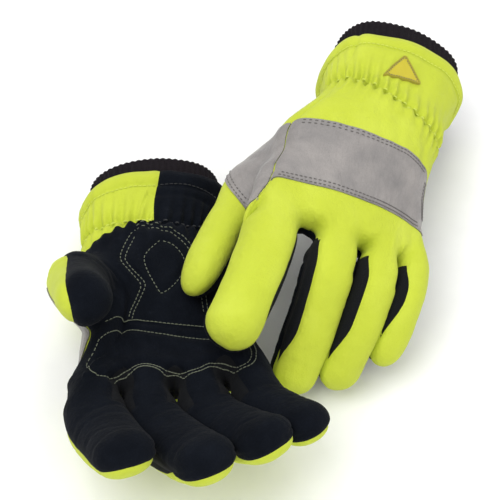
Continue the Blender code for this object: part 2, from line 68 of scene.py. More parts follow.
POSE = {
    "right": {"up": -1, "knuckle": 8, "wrist": -8, "arch": 0.0050, "yaw": 9, "pitch": -1, "roll": 4, "pos": (-62.05, 27.6, 24), "rest": 0.0,
              "index": (14, 29, -14), "middle": (12, 26, -25), "ring": (15, 24, -33), "little": (11, 16, -34),
              "tuck": 9.0, "slack": 0.0, "root": (52, 38, -17), "thumb": (22, 34, 4, 8), "m_root": (50, 44, -13), "m_thumb": (42, 24),
              "form": (69, 14.0, 13.5, 16.5, 17.0, 15.0), "trim": (8, 5, 2, -4), "slim": (-0.6, -0.6, -0.6, -0.6), "pinch": 0.0, "cuff": 7.5, "hem": -26.2,
              "web": 10.0, "wide": 0.13, "flat": 0.10, "flare": 0.0, "turn": (0, 0, 0, 0), "thumb_turn": 28, "thumb_seam": (-6.0, 3.0, 5.4, 9.0), "thumb_from": 14, "web_seam": 8.0, "edge_seam": 6.0, "tape_low": 11.0, "stitch_to": -6.0, "strip": ((2.0, 6.7, 14.6, 21.5, 28.6, 37.0), (-12.0, 0.4, 4.6, 7.2, 9.5, 13.0)), "crotch": (-1.0, 10.0), "thumb_splay": 0, "seam": 1.5, "tip_seam": 5.5, "knit": -40.6, "gather": (4.0, 0.10, 3.6, 0.08), "band": (44.5, 86.5)},
    "left": {"up": 1, "knuckle": 8, "wrist": 11, "arch": 0.0042, "yaw": -10, "pitch": -3, "roll": 22, "pos": (72.45, 103.6, 50), "rest": 0.0,
             "index": (-2, 12, 10), "middle": (25, 26, -6.0), "ring": (24, 26, -1), "little": (20, 22, -1),
             "tuck": -7.0, "slack": 0.53, "root": (51, 69, -15), "thumb": (44, -4, 22, 6), "m_root": (50, 58, -13), "m_thumb": (56, 6),
             "form": (88, 11.5, 10.5, 17.0, 15.5, 26.0), "trim": (3, 3, 4, 4), "slim": (0, 0.4, 1.4, 1.2), "pinch": 16.0, "cuff": 4.0, "hem": -29.2,
             "web": 5.0, "wide": 0.0, "flat": 0.0, "flare": 7.0, "turn": (0, 18, 34, 46), "thumb_turn": 0, "thumb_seam": (-2.5, -2.5, -2.5, -2.5), "thumb_from": 28, "web_seam": 0.0, "edge_seam": 0.0, "tape_low": 19.5, "stitch_to": 99.0, "strip": ((0.0, 1.0), (-99.0, -99.0)), "crotch": (4.0, 7.2), "thumb_splay": -22, "seam": -2.5, "tip_seam": -1.5, "knit": -49.0, "gather": (12.0, 0.27, 5.0, 0.05), "band": (44.5, 86.5)},
}
STEP = 1.35  # mesh size


def sstep(t):
    t = np.clip(t, 0.0, 1.0)
    return t * t * (3 - 2 * t)


def table(rows, y):
    r = np.array(rows, float)
    out = []
    for k in range(1, r.shape[1]):
        v, x = r[:, k], r[:, 0]
        m = np.gradient(v, x)
        i = np.clip(np.searchsorted(x, y) - 1, 0, len(x) - 2)
        h = x[i + 1] - x[i]
        s = np.clip((y - x[i]) / h, 0, 1)
        out.append((1 + 2 * s) * (1 - s) ** 2 * v[i] + s * (1 - s) ** 2 * h * m[i]
                   + s * s * (3 - 2 * s) * v[i + 1] + s * s * (s - 1) * h * m[i + 1])
    return out


# ------------------------------------------------------------------ bending, as the frame does it
YS = np.linspace(-130, 260, 781)


def centreline(P):
    a = math.radians(P["knuckle"]) * sstep((YS - 48) / 62.0) - math.radians(P["wrist"]) * sstep((18 - YS) / 40.0)
    h = YS[1] - YS[0]
    dy, dz = np.cos(a), -np.sin(a)
    Y = np.concatenate([[0], np.cumsum((dy[1:] + dy[:-1]) / 2) * h])
    Z = np.concatenate([[0], np.cumsum((dz[1:] + dz[:-1]) / 2) * h])
    i0 = int(np.argmin(abs(YS - 20)))
    return Y - Y[i0] + 20, Z - Z[i0], a


def hand_warp(p, P):
    Y, Z, A = P["line"]
    x, y, z = p[..., 0], p[..., 1], p[..., 2]
    yy, zz, aa = (np.interp(y, YS, v) for v in (Y, Z, A))
    z = np.where(z < 0, z * (1 + P["slack"] * sstep((2 - y) / 26.0)), z)
    x = x - P["tuck"] * sstep((x - 8) / 40.0) * sstep((y - 10) / 40.0) * (1 - sstep((y - 80) / 28.0))
    x = x + P["pinch"] * np.interp(y, [2, 16, 34, 60, 80, 92, 106, 122, 146], [0, 0.18, 0.52, 0.78, 1.0, 0.90, 0.70, 0.46, 0.38]) * sstep((6 - x) / 56.0)
    x = x - P["cuff"] * sstep((2 - y) / 42.0)
    k = P["arch"] * sstep((y - 5) / 60.0) + 1e-6
    xs, up = np.sin(x * k) * (1 / k + z), np.cos(x * k) * (1 / k + z) - 1 / k
    return np.stack([xs, yy + up * np.sin(aa), zz + up * np.cos(aa)], -1)


def axes_of(lateral, palmar):
    lat, pal = math.radians(lateral), math.radians(palmar)
    d = np.array([math.sin(lat) * math.cos(pal), math.cos(lat) * math.cos(pal), -math.sin(pal)])
    n = np.array([0.72, 0.0, 0.70])
    n -= d * (n @ d)
    n /= np.linalg.norm(n)
    return np.stack([np.cross(d, n), d, n])


def digit_frame(name, P):
    if name == "thumb":
        b, e = np.array(P["root"], float), 0.5 * np.eye(3)
        J = np.stack([hand_warp(b + e[i], P) - hand_warp(b - e[i], P) for i in range(3)])
        u, _, vt = np.linalg.svd(J)
        return hand_warp(b, P), axes_of(*P["thumb"][:2]) @ (u @ vt)
    bx, by = DIGITS[name][:2]
    a = float(np.interp(by, YS, P["line"][2]))
    return hand_warp(np.array([bx, by, 0.0]), P), np.array([[1, 0, 0], [0, math.cos(a), -math.sin(a)], [0, math.sin(a), math.cos(a)]])


def digit_warp(name, q, P):
    a, t, c = q[..., 0], q[..., 1], q[..., 2]
    if name == "thumb":
        f0, f1, sp, L = P["thumb"][2], P["thumb"][3], P["thumb_splay"], THUMB_LEN
    else:
        f0, f1, sp = P[name]
        L = DIGITS[name][2]
    ts = np.linspace(-60, L + 30, 361)
    ang = math.radians(f0) * sstep(ts / 26.0) + math.radians(f1) * np.clip((ts - 14) / (L - 24), 0, None)
    spl = math.radians(sp) * sstep(ts / 30.0)
    d = np.stack([np.cos(ang) * np.sin(spl), np.cos(ang) * np.cos(spl), -np.sin(ang)], -1)
    path = np.concatenate([[np.zeros(3)], np.cumsum((d[1:] + d[:-1]) / 2 * (ts[1] - ts[0]), 0)])
    path -= np.array([np.interp(0, ts, path[:, k]) for k in range(3)])
    cx = np.stack([np.interp(t, ts, path[:, k]) for k in range(3)], -1)
    an, sl = np.interp(t, ts, ang), np.interp(t, ts, spl)
    av = np.stack([np.cos(sl), -np.sin(sl), 0 * sl], -1)
    nv = np.stack([np.sin(an) * np.sin(sl), np.sin(an) * np.cos(sl), np.cos(an)], -1)
    o, R = digit_frame(name, P)
    return o + (cx + a[..., None] * av + c[..., None] * nv) @ R


def placing(P):
    y, p, r = (math.radians(P[k]) for k in ("yaw", "pitch", "roll"))
    Rz = np.array([[math.cos(y), -math.sin(y), 0], [math.sin(y), math.cos(y), 0], [0, 0, 1]])
    Rx = np.array([[1, 0, 0], [0, math.cos(p), -math.sin(p)], [0, math.sin(p), math.cos(p)]])
    Ry = np.array([[math.cos(r), 0, math.sin(r)], [0, 1, 0], [-math.sin(r), 0, math.cos(r)]])
    return Rz @ Rx @ Ry @ np.diag([-1.0, -1.0, float(P["up"])])


for _p in POSE.values():
    _p["line"] = centreline(_p)


# ------------------------------------------------------------------ the form, in spread pattern space
def spread(y):
    return 1 + (SPREAD - 1) * sstep((y - 58) / 44.0)


def m_base(name):
    return DIGITS[name][0] * SPREAD, DIGITS[name][1]


M_CROTCH = [(0.5 * (m_base(a)[0] + m_base(b)[0]), 0.5 * (m_base(a)[1] + m_base(b)[1])) for a, b in zip(FINGERS, FINGERS[1:])]


def thumb_local(m, P):
    """Coordinates about the spread thumb's own line, which curves in towards the hand below its root."""
    A = axes_of(*P["m_thumb"])
    q = (m - np.array(P["m_root"], float)) @ A.T
    back = sstep(-q[..., 1] / 34.0)
    return q + (np.array([9.0, 0, 0]) @ A.T) * back[..., None]


def hand_r(m):
    y = m[..., 1]
    xl, xr, zt, zb = table(HAND, np.clip(y, -30, 117))
    x = m[..., 0] / spread(y)
    u = abs(x - (xl + xr) / 2) / ((xr - xl) / 2)
    z = m[..., 2]
    v = abs(z) / np.where(z > 0, zt, -zb)
    return (u ** 2.38 + v ** 2.38 + 1e-9) ** (1 / 2.38), np.where(z > 0, zt, -zb)


def hand_field(m):
    r, hz = hand_r(m)
    d = (r - 1) * hz * 1.15
    end = m[..., 1] - 104.0 + 0.10 * abs(m[..., 2])
    return smax(d, end, 8.0)


def smin(a, b, k):
    h = np.clip(0.5 + 0.5 * (b - a) / k, 0, 1)
    return b * (1 - h) + a * h - k * h * (1 - h)


def smax(a, b, k):
    return -smin(-a, -b, k)


def finger_field(name, m, P):
    bx, by = m_base(name)
    L, w, h = DIGITS[name][2:]
    k = FINGERS.index(name)
    L, w = L - P["trim"][k], w - P["slim"][k]
    a, t, c = m[..., 0] - DIGITS[name][0] * spread(m[..., 1]), m[..., 1] - by, m[..., 2]
    inward = (4.0 if k == 0 else -10.0 if k == 3 else 0.0) * (1 - sstep((t + 34) / 34.0))
    a = a + inward
    if k == 0 and P["flare"]:
        fl = P["flare"] * (1 - 0.45 * sstep((t - 4) / 60.0)) * sstep((t + 26) / 18.0)
        a, w = a - fl, w + 1.0
    grow = 0.50 + 0.50 * sstep((t + 38) / 34.0)
    w = w * (1 + P["wide"] * sstep((t + 4) / 34.0)) * grow
    h = h * (1 - P["flat"] * sstep((t + 4) / 34.0)) * grow
    s = 1 - 0.07 * sstep(t / L)
    g = np.clip((t - (L - DOME)) / DOME, 0, None)
    r = ((abs(a) / (w * s)) ** 2.25 + (abs(c) / (h * s)) ** 2.25 + g ** 2.25 + 1e-9) ** (1 / 2.25)
    return np.maximum((r - 1) * h * s, -(t + 34))


def thumb_field(m, P):
    q = thumb_local(m, P)
    t = q[..., 1]
    s = sstep(t / 34.0)
    flare = 1 - 0.42 * sstep((-t - 6) / 30.0)
    L, tw, tt, bw, bt = P["form"][:5]
    w, h = (bw + (tw - bw) * s) * flare, (bt + (tt - bt) * s) * flare
    dome = P["form"][5]
    g = np.clip((t - (L - dome)) / dome, 0, None)
    r = ((abs(q[..., 0]) / w) ** 2.25 + (abs(q[..., 2]) / h) ** 2.25 + g ** 2.25 + 1e-9) ** (1 / 2.25)
    return np.maximum((r - 1) * h, -(t + 36))


def form(m, P):
    d = hand_field(m)
    for name in FINGERS:
        d = smin(d, finger_field(name, m, P), 7.0)
    return smin(d, thumb_field(m, P), P["web"])


def gradient(f, m, P, e=0.15):
    g = np.zeros_like(m)
    for k in range(3):
        s = np.zeros(3)
        s[k] = e
        g[..., k] = (f(m + s, P) - f(m - s, P)) / (2 * e)
    return g


def surface_nets(F, lo, h):
    """A quad mesh of the zero surface of F."""
    n = np.array(F.shape)
    S = F < 0
    corner = [(i, j, k) for i in (0, 1) for j in (0, 1) for k in (0, 1)]
    cut = lambda A, o: A[o[0]:n[0] - 1 + o[0], o[1]:n[1] - 1 + o[1], o[2]:n[2] - 1 + o[2]]
    count = sum(cut(S, c).astype(np.int8) for c in corner)
    act = (count > 0) & (count < 8)
    idx = np.full(act.shape, -1, np.int64)
    idx[act] = np.arange(act.sum())
    where = np.stack(np.nonzero(act), -1)
    acc, num = np.zeros((len(where), 3)), np.zeros(len(where))
    for ax in range(3):
        o1, o2 = [k for k in range(3) if k != ax]
        for u in (0, 1):
            for w in (0, 1):
                c0 = [0, 0, 0]
                c0[o1], c0[o2] = u, w
                c1 = list(c0)
                c1[ax] = 1
                fa, fb = F[tuple((where + c0).T)], F[tuple((where + c1).T)]
                on = (fa < 0) != (fb < 0)
                t = fa[on] / (fa[on] - fb[on])
                p = np.tile(np.array(c0, float), (on.sum(), 1))
                p[:, ax] = t
                acc[on] += p
                num[on] += 1
    v = (where + acc / num[:, None]) * h + lo
    quads = []
    for ax in range(3):
        o1, o2 = [k for k in range(3) if k != ax]
        sl0 = [slice(1, n[k] - 1) for k in range(3)]
        sl1 = list(sl0)
        sl0[ax], sl1[ax] = slice(0, n[ax] - 1), slice(1, n[ax])
        a, b = S[tuple(sl0)], S[tuple(sl1)]
        for flip, on in ((False, a & ~b), (True, ~a & b)):
            e = np.stack(np.nonzero(on), -1)
            e[:, o1] += 1
            e[:, o2] += 1
            q = []
            for u, w in ((0, 0), (1, 0), (1, 1), (0, 1)):
                c = e.copy()
                c[:, o1] -= u
                c[:, o2] -= w
                q.append(idx[tuple(c.T)])
            q = np.stack(q, -1)
            # axis order decides which way round the quad faces
            if flip ^ (ax == 1):
                q = q[:, ::-1]
            quads.append(q)
    q = np.concatenate(quads)
    return v, q[(q >= 0).all(1)]


def cut_mesh(v, f, g):
    """Splits triangles where the per-vertex function g changes sign. Returns the triangles, and a function that carries
    any vertex value onto the new vertices.
    """
    g = np.where(abs(g) < 0.10, 0.0, g)
    e = np.concatenate([f[:, [0, 1]], f[:, [1, 2]], f[:, [2, 0]]])
    e.sort(axis=1)
    e = np.unique(e, axis=0)
    e = e[g[e[:, 0]] * g[e[:, 1]] < 0]
    t = g[e[:, 0]] / (g[e[:, 0]] - g[e[:, 1]])
    key = e[:, 0] * len(v) + e[:, 1]
    order = np.argsort(key)
    e, t, key = e[order], t[order], key[order]

    def mid(a, b):
        k = np.minimum(a, b) * len(v) + np.maximum(a, b)
        i = np.clip(np.searchsorted(key, k), 0, max(len(key) - 1, 0))
        ok = (key[i] == k) if len(key) else np.zeros(len(k), bool)
        return np.where(ok, i + len(v), -1)

    m01, m12, m20 = mid(f[:, 0], f[:, 1]), mid(f[:, 1], f[:, 2]), mid(f[:, 2], f[:, 0])
    n = (m01 >= 0).astype(int) + (m12 >= 0) + (m20 >= 0)
    out = [f[n == 0]]
    ms = np.stack([m01, m12, m20], -1)
    one = n == 1
    fo, mo = f[one], ms[one]
    k = np.argmax(mo >= 0, 1)
    r = np.arange(len(fo))
    a, b, c, p = fo[r, k], fo[r, (k + 1) % 3], fo[r, (k + 2) % 3], mo[r, k]
    out += [np.stack([a, p, c], -1), np.stack([p, b, c], -1)]
    two = n == 2
    fo, mo = f[two], ms[two]
    k = np.argmax(mo < 0, 1)  # the edge that isn't cut: k to k + 1
    r = np.arange(len(fo))
    a, b, c = fo[r, k], fo[r, (k + 1) % 3], fo[r, (k + 2) % 3]
    pb, pa = mo[r, (k + 1) % 3], mo[r, (k + 2) % 3]
    out += [np.stack([a, b, pb], -1), np.stack([a, pb, pa], -1), np.stack([pa, pb, c], -1)]
    carry = lambda x: np.concatenate([x, x[e[:, 0]] * (1 - t.reshape(-1, *[1] * (x.ndim - 1))) + x[e[:, 1]] * t.reshape(-1, *[1] * (x.ndim - 1))])
    return np.concatenate(out), carry


# ------------------------------------------------------------------ from the spread pattern to the world
def weights(m, P):
    """(thumb weight, finger weight, the share of each finger)."""
    q = thumb_local(m, P)
    rq = np.hypot(q[..., 0], q[..., 2])
    sth = sstep((q[..., 1] + 20) / 28.0) * (1 - sstep((rq - 23) / 9.0))
    share, x, y = [], m[..., 0], m[..., 1]
    edge = [sstep((x - c[0] + 3.0) / 6.0) for c in M_CROTCH]
    share = [edge[0], (1 - edge[0]) * edge[1], (1 - edge[1]) * edge[2] * (1 - edge[0]), (1 - edge[2])]
    tot = sum(share)
    base = sum(s * m_base(n)[1] for s, n in zip(share, FINGERS)) / tot
    sf = sstep((y - base + 9) / 18.0)
    return sth, sf, [s / tot for s in share]


def to_world(m, P):
    """World metres of spread pattern points."""
    sth, sf, share = weights(m, P)
    flat = m.copy()
    flat[..., 0] = m[..., 0] / spread(m[..., 1])
    out = hand_warp(flat, P)
    fing = np.zeros_like(out)
    for s, n in zip(share, FINGERS):
        bx, by = m_base(n)
        fing += s[..., None] * digit_warp(n, m - np.array([bx, by, 0.0]), P)
    out = out * (1 - sf)[..., None] + fing * sf[..., None]
    A = axes_of(*P["m_thumb"])
    q = (m - np.array(P["m_root"], float)) @ A.T
    q = thumb_local(m, P)
    out = out * (1 - sth)[..., None] + digit_warp("thumb", q, P) * sth[..., None]
    w = out @ placing(P).T + np.array(P["pos"], float)
    z = w[..., 2]
    w[..., 2] = np.where(z < 1.6, 0.4 + 1.2 * np.exp(np.minimum((z - 1.6) / 1.2, 0)), z)
    return w * 0.001


# ------------------------------------------------------------------ noise, the same every run
def lattice(seed, n=32):
    return np.random.default_rng(seed).random((n, n, n))


def noise(p, size, seed):
    """Smooth noise from -1 to 1."""
    G = LATTICE.setdefault(seed, lattice(seed))
    n = len(G)
    q = p / size
    i = np.floor(q).astype(int)
    f = q - i
    f = f * f * (3 - 2 * f)
    i %= n
    j = (i + 1) % n
    out = 0
    for a in (0, 1):
        for b in (0, 1):
            for c in (0, 1):
                w = (f[..., 0] if a else 1 - f[..., 0]) * (f[..., 1] if b else 1 - f[..., 1]) * (f[..., 2] if c else 1 - f[..., 2])
                out = out + w * G[(j if a else i)[..., 0], (j if b else i)[..., 1], (j if c else i)[..., 2]]
    return out * 2 - 1


LATTICE = {}


def ridge(p, size, seed, sharp=3.0):
    """Creases: thin dark lines of a noise field, from 0 to 1."""
    return np.exp(-(noise(p, size, seed) * sharp) ** 2)


# ------------------------------------------------------------------ where the pieces of fabric meet
def angle_of(m):
    xl, xr, zt, zb = table(HAND, np.clip(m[..., 1], -30, 117))
    x, z = m[..., 0] / spread(m[..., 1]), m[..., 2]
    return np.degrees(np.arctan2(z / np.where(z > 0, zt, -zb), (x - (xl + xr) / 2) / ((xr - xl) / 2)))


def nearest_finger(m):
    x = m[..., 0]
    e = [c[0] for c in M_CROTCH]
    return np.where(x > e[0], 0, np.where(x > e[1], 1, np.where(x > e[2], 2, 3)))


def turned(m, P):
    """Sideways and upward place on the nearest finger, turned the way that finger has rolled, with its t and length."""
    k = nearest_finger(m)
    bx = np.array([m_base(n)[0] for n in FINGERS])[k]
    by = np.array([m_base(n)[1] for n in FINGERS])[k]
    L = np.array([DIGITS[n][2] - P["trim"][i] for i, n in enumerate(FINGERS)])[k]
    t = m[..., 1] - by
    phi = np.radians(np.array(P["turn"], float)[k]) * sstep((t + 8) / 24.0)
    a, c = m[..., 0] - bx, m[..., 2]
    return k, a * np.cos(phi) + c * np.sin(phi), c * np.cos(phi) - a * np.sin(phi), t, L


def back_field(m, P):
    """Above zero on the yellow back, below on the suede palm."""
    y = m[..., 1]
    x = m[..., 0] / spread(y)
    k, a, c, t, L = turned(m, P)
    on = sstep((t + 10) / 16.0)
    z = m[..., 2] * (1 - on) + c * on
    seam = np.where(x > 0, -17.0 * (1 - sstep(y / 30.0)) - 2.0 + (P["edge_seam"] * bump(y - 102, 15.0) - P["web_seam"] * bump(y - 70, 10.0)) * sstep((x - 30) / 16.0),
                    -3.0 - 9.0 * (1 - sstep((y - 12) / 26.0)))
    seam = seam + (P["seam"] + 2.0) * sstep((y - 74) / 30.0) + (P["tip_seam"] - P["seam"]) * sstep((t - (L - 34)) / 26.0)
    q = thumb_local(m, P)
    rq = np.hypot(q[..., 0], q[..., 2])
    w = sstep((q[..., 1] + P["thumb_from"]) / 26.0) * (1 - sstep((rq - 19) / 7.0))
    ph = math.radians(P["thumb_turn"])
    up = q[..., 2] * math.cos(ph) + q[..., 0] * math.sin(ph) - np.interp(q[..., 1], [0, 9, 39, 64], P["thumb_seam"])
    field = (z - seam) * (1 - w) + up * w
    # the yellow panel's edge runs slantwise from the wrist seam to the thumb
    edge = np.interp(m[..., 0], P["strip"][0], P["strip"][1]) - y
    return np.maximum(field, np.where((m[..., 2] < 0) & (y < 30), edge, -99.0))


def slot_field(m, P):
    """Below zero between the fingers, on their side strips."""
    x, y = m[..., 0], m[..., 1]
    out = np.full(x.shape, 99.0)
    for (cx, cy) in M_CROTCH:
        t = y - cy
        up = sstep((m[..., 2] - 3) / 9.0)
        r = P["crotch"][1] * (1 - up) + 7.2 * up + np.where(x > cx, 0.0, 0.6) + 2.0 * sstep((t + 2) / 14.0)
        y0 = cy + P["crotch"][0] * (1 - up) + 4.0 * up
        d = np.where(y > y0, abs(x - cx) - r, np.hypot(x - cx, y - y0) - r)
        d = np.maximum(d, t - 14)
        out = np.where(abs(x - cx) < 19, np.minimum(out, d), out)
    k, a, c, t, L = turned(m, P)
    half = 6.2 * (1 - sstep((t - (L - 36)) / 26.0)) - 0.5
    inner = np.where(k == 0, -a, np.where(k == 3, a, abs(a)))
    strip = np.maximum(abs(c - 0.8) - half, np.maximum(5.0 - inner, 3 - t))
    return np.minimum(out, strip)


def side_seam(m):
    """Distance from the seam between the back panel and the thumb-side panel."""
    y = m[..., 1]
    x = m[..., 0] / spread(y)
    return x - np.interp(y, [-30, 0, 22, 44, 62, 80, 87, 94, 104], [33, 32.5, 39.5, 45.4, 45.8, 47.6, 50.4, 56.0, 66.0])


def bump(d, w):
    return np.exp(-(d / w) ** 2)


def polyline_distance(x, y, pts):
    best = np.full(x.shape, 1e9)
    for (ax, ay), (bx, by) in zip(pts, pts[1:]):
        ux, uy = bx - ax, by - ay
        t = np.clip(((x - ax) * ux + (y - ay) * uy) / (ux * ux + uy * uy), 0, 1)
        best = np.minimum(best, np.hypot(x - ax - t * ux, y - ay - t * uy))
    return best


def smooth_line(pts, n=12):
    """A smooth line through the given points."""
    p = np.array(pts, float)
    p = np.concatenate([[2 * p[0] - p[1]], p, [2 * p[-1] - p[-2]]])
    out = []
    for a, b, c, d in zip(p, p[1:], p[2:], p[3:]):
        for t in np.arange(n) / n:
            out.append(0.5 * (2 * b + (c - a) * t + (2 * a - 5 * b + 4 * c - d) * t * t + (3 * b - a - 3 * c + d) * t ** 3))
    out.append(p[-2])
    return np.array(out)


def wrist_line(m, P):
    """The y of the gathered line at the wrist."""
    x, z = m[..., 0], m[..., 2]
    back = sstep((z + 12) / 24.0)
    return P["gather"][0] * back + P["gather"][2] * (1 - back) - x * (P["gather"][1] * back + P["gather"][3] * (1 - back))


# stitched lines of the palm, in flat x, y
HEEL_OUT = smooth_line([(9, 9.5), (12, 12), (16.6, 18.8), (20.8, 26), (21.3, 30.7), (17.4, 37.3), (12.6, 44.5), (12.4, 48), (17.5, 55.5), (22, 61), (24.6, 66)])
HEEL_IN = smooth_line([(10.3, 14.3), (14.2, 20.4), (17.8, 26.7), (18.4, 30.2), (14.9, 36.6), (9.9, 44.1), (9.8, 48.4), (14.8, 56.0), (19, 61.3), (21.6, 66.3)])
HEEL_TOP = smooth_line([(9, 9.5), (3, 9.2), (-5, 11.6), (-12, 15), (-15.5, 18.8), (-18.5, 24), (-20.5, 34), (-22.6, 50), (-22.5, 66)])
DIAMOND = smooth_line([(-3, 18.4), (4.4, 24.9), (7.4, 30.1), (6.2, 39.3), (2.2, 50), (-0.4, 52.1), (-8.4, 46.3), (-14.5, 37.5), (-14.7, 28.9), (-9.9, 21.6), (-3, 18.4)], 8)
HEEL_END = smooth_line([(47, 77.5), (43.3, 77.8), (37.6, 75.4), (30.5, 71.5), (23.5, 69.4), (9.4, 70.8), (-1, 73), (-22, 76.4), (-44, 78)])
PAD_TOP = smooth_line([(47.4, 83.8), (41.7, 81.6), (35, 77.2), (28.3, 74.0), (20.2, 74.0), (11.7, 75.5), (3.3, 77.6), (-8.3, 80.6), (-21.6, 83.0), (-40, 84.5)])
PAD_END = smooth_line([(47.4, 83.8), (51.0, 85.4), (52.6, 89), (51.3, 95), (46.6, 101.5), (41, 104.6), (35, 104)])
PAD_LOW = smooth_line([(35, 104), (27.3, 100), (19.2, 97), (10.9, 98), (2.8, 101), (-5.2, 102.8), (-13.5, 102.4), (-21.8, 99.4), (-29.4, 100.4), (-35.6, 104), (-40.1, 103.4), (-43.4, 99.5), (-44.6, 94), (-43, 87.5), (-40, 84)])


def relief(m, P):
    """How far the fabric stands off the smooth form, in mm."""
    y, z = m[..., 1], m[..., 2]
    gy = y - wrist_line(m, P)
    x = m[..., 0] / spread(y)
    sth, sf, _ = weights(m, P)
    g, s = back_field(m, P), slot_field(m, P)
    seed = 11 if P["up"] > 0 else 47
    d = 0.75 * noise(m, np.array([24.0, 34.0, 30.0]), seed) + 0.28 * noise(m, 10.0, seed + 1) + 0.07 * noise(m, 3.4, seed + 2)
    # seams pull in, and the wadding swells beside them
    d = d - 0.65 * bump(g, 1.3) + 0.35 * bump(abs(g) - 4.5, 3.0)
    d = d - 0.60 * bump(s, 1.1) * (s < 50) + 0.35 * bump(s - 4.0, 2.6)
    front = sstep(-z / 6.0)
    ss = side_seam(m)
    back = (1 - front) * (1 - sstep((y - 98) / 6.0))
    d = d - 0.75 * bump(ss, 1.1) * back + 0.4 * bump(abs(ss) - 4.0, 3.0) * back
    # wrist gathers
    th = np.radians(angle_of(m))
    wav = np.cos(34 * th + 2.2 * noise(m * np.array([1, 0.35, 1]), 15.0, seed + 3) + 0.9 * np.sign(gy) * bump(gy, 6.0)) * (0.70 + 0.30 * noise(m, 18.0, seed + 4))
    near = bump(gy, 6.5) + 0.35 * bump(gy + 8, 11.0) + 0.25 * bump(gy - 7, 9.0)
    d = d + 2.0 * wav * near * (1 - 0.35 * bump(gy, 1.6)) - 2.2 * bump(gy, 2.2)
    d = d + 0.5 * np.cos(9 * th + 2.2 * noise(m, 30.0, seed + 5)) * bump(y + 14, 11.0) * (y < 8)
    # folds running from the wrist into the hand, and across the thumb's root
    d = d + 0.7 * noise(np.stack([x * 2.4 + y * 0.5, y * 0.35, z * 2.0], -1), 13.0, seed + 6) * sstep(y / 10.0) * (1 - sstep((y - 34) / 26.0))
    q = thumb_local(m, P)
    crease = np.cos(q[..., 1] * 0.62 + 2.5 * noise(m, 20.0, seed + 7))
    d = d + 0.45 * crease * sth * (1 - sstep((q[..., 1] - 6) / 16.0)) * (0.5 + 0.5 * noise(m, 14.0, seed + 8))
    # soft creases across the fingers, stronger where they curl
    for n in FINGERS:
        bx, by = m_base(n)
        t = y - by
        on = sf * (abs(m[..., 0] - bx) < 17)
        curl = abs(math.radians(P[n][1])) / 0.5
        L = DIGITS[n][2]
        for at, wd in ((0.30 * L, 1.7), (0.40 * L, 1.3), (0.64 * L, 1.7), (0.74 * L, 1.2)):
            lean = 0.22 * (m[..., 0] - bx) * math.sin(at * 2.1) + 2.2 * noise(m, 12.0, seed + 9)
            d = d - 0.42 * curl * bump(t - at - lean, wd) * on * (0.35 + 0.65 * front)
    # quilting on the palm
    ph = front * (1 - sstep((sth - 0.05) / 0.2))
    for line, depth, w in ((HEEL_OUT, 0.8, 1.4), (HEEL_IN, 0.8, 1.4), (HEEL_TOP, 0.7, 1.2), (DIAMOND, 0.8, 1.4), (HEEL_END, 0.9, 1.2),
                           (PAD_TOP, 0.7, 1.3), (PAD_END, 0.8, 1.3), (PAD_LOW, 0.9, 1.5)):
        near_line = polyline_distance(x, y, line[::3])
        d = d - depth * bump(near_line, w) * ph + 0.45 * bump(near_line - 4.5, 3.0) * ph
    inside_pad = (y > np.interp(x, PAD_TOP[::-1, 0], PAD_TOP[::-1, 1])) & (y < np.interp(x, PAD_LOW[::-1, 0], PAD_LOW[::-1, 1])) & (x < 50) & (x > -44)
    dd = np.minimum(polyline_distance(x, y, PAD_TOP[::3]), polyline_distance(x, y, PAD_LOW[::3]))
    d = d + 1.1 * inside_pad * sstep(dd / 3.5) * ph
    return d


# ------------------------------------------------------------------ objects
def new_object(name, v, f, mat, normals=None, smooth=True):
    me = bpy.data.meshes.new(name)
    f = np.asarray(f)
    n = f.shape[1]
    me.vertices.add(len(v))
    me.vertices.foreach_set("co", np.asarray(v, np.float32).ravel())
    me.loops.add(f.size)
    me.loops.foreach_set("vertex_index", f.astype(np.int32).ravel())
    me.polygons.add(len(f))
    me.polygons.foreach_set("loop_start", np.arange(0, f.size, n, dtype=np.int32))
    me.update(calc_edges=True)
    me.validate()
    if smooth:
        me.polygons.foreach_set("use_smooth", np.ones(len(me.polygons), bool))
    if normals is not None:
        me.normals_split_custom_set_from_vertices(normals)
    me.materials.append(mat)
    ob = bpy.data.objects.new(name, me)
    bpy.context.scene.collection.objects.link(ob)
    return ob


def vertex_normals(v, f):
    n = np.zeros_like(v)
    a = np.cross(v[f[:, 1]] - v[f[:, 0]], v[f[:, 2]] - v[f[:, 0]])
    for k in range(f.shape[1]):
        np.add.at(n, f[:, k], a)
    return n / np.maximum(np.linalg.norm(n, axis=1), 1e-12)[:, None]


def take(v, f, keep, normals=None):
    used, g = np.unique(f[keep], return_inverse=True)
    return v[used], g.reshape(-1, f.shape[1]), (normals[used] if normals is not None else None)


def grid_faces(n, m, wrap=False):
    i, j = np.meshgrid(np.arange(n - 1), np.arange(m if wrap else m - 1), indexing="ij")
    k = (j + 1) % m
    return np.stack([i * m + j, i * m + k, (i + 1) * m + k, (i + 1) * m + j], -1).reshape(-1, 4)


def on_surface(xy, front, P, guess=None):
    """Points of the smooth form above flat x, y, on the back or the front, with their normals."""
    y = xy[:, 1]
    m = np.stack([xy[:, 0] * spread(y), y, np.full(len(xy), -22.0 if front else 20.0) if guess is None else guess], -1)
    for _ in range(14):
        f = form(m, P)
        e = np.array([0, 0, 0.2])
        g = (form(m + e, P) - form(m - e, P)) / 0.4
        m[:, 2] -= np.clip(f / np.where(abs(g) < 0.15, 0.15 * (-1 if front else 1), g), -4, 4)
    n = gradient(form, m, P)
    return m, n / np.linalg.norm(n, axis=1)[:, None]


def resample(pts, step):
    seg = np.linalg.norm(np.diff(pts, axis=0), axis=1)
    s = np.concatenate([[0], np.cumsum(seg)])
    u = np.arange(step / 2, s[-1], step)
    return np.stack([np.interp(u, s, pts[:, k]) for k in range(pts.shape[1])], -1), u


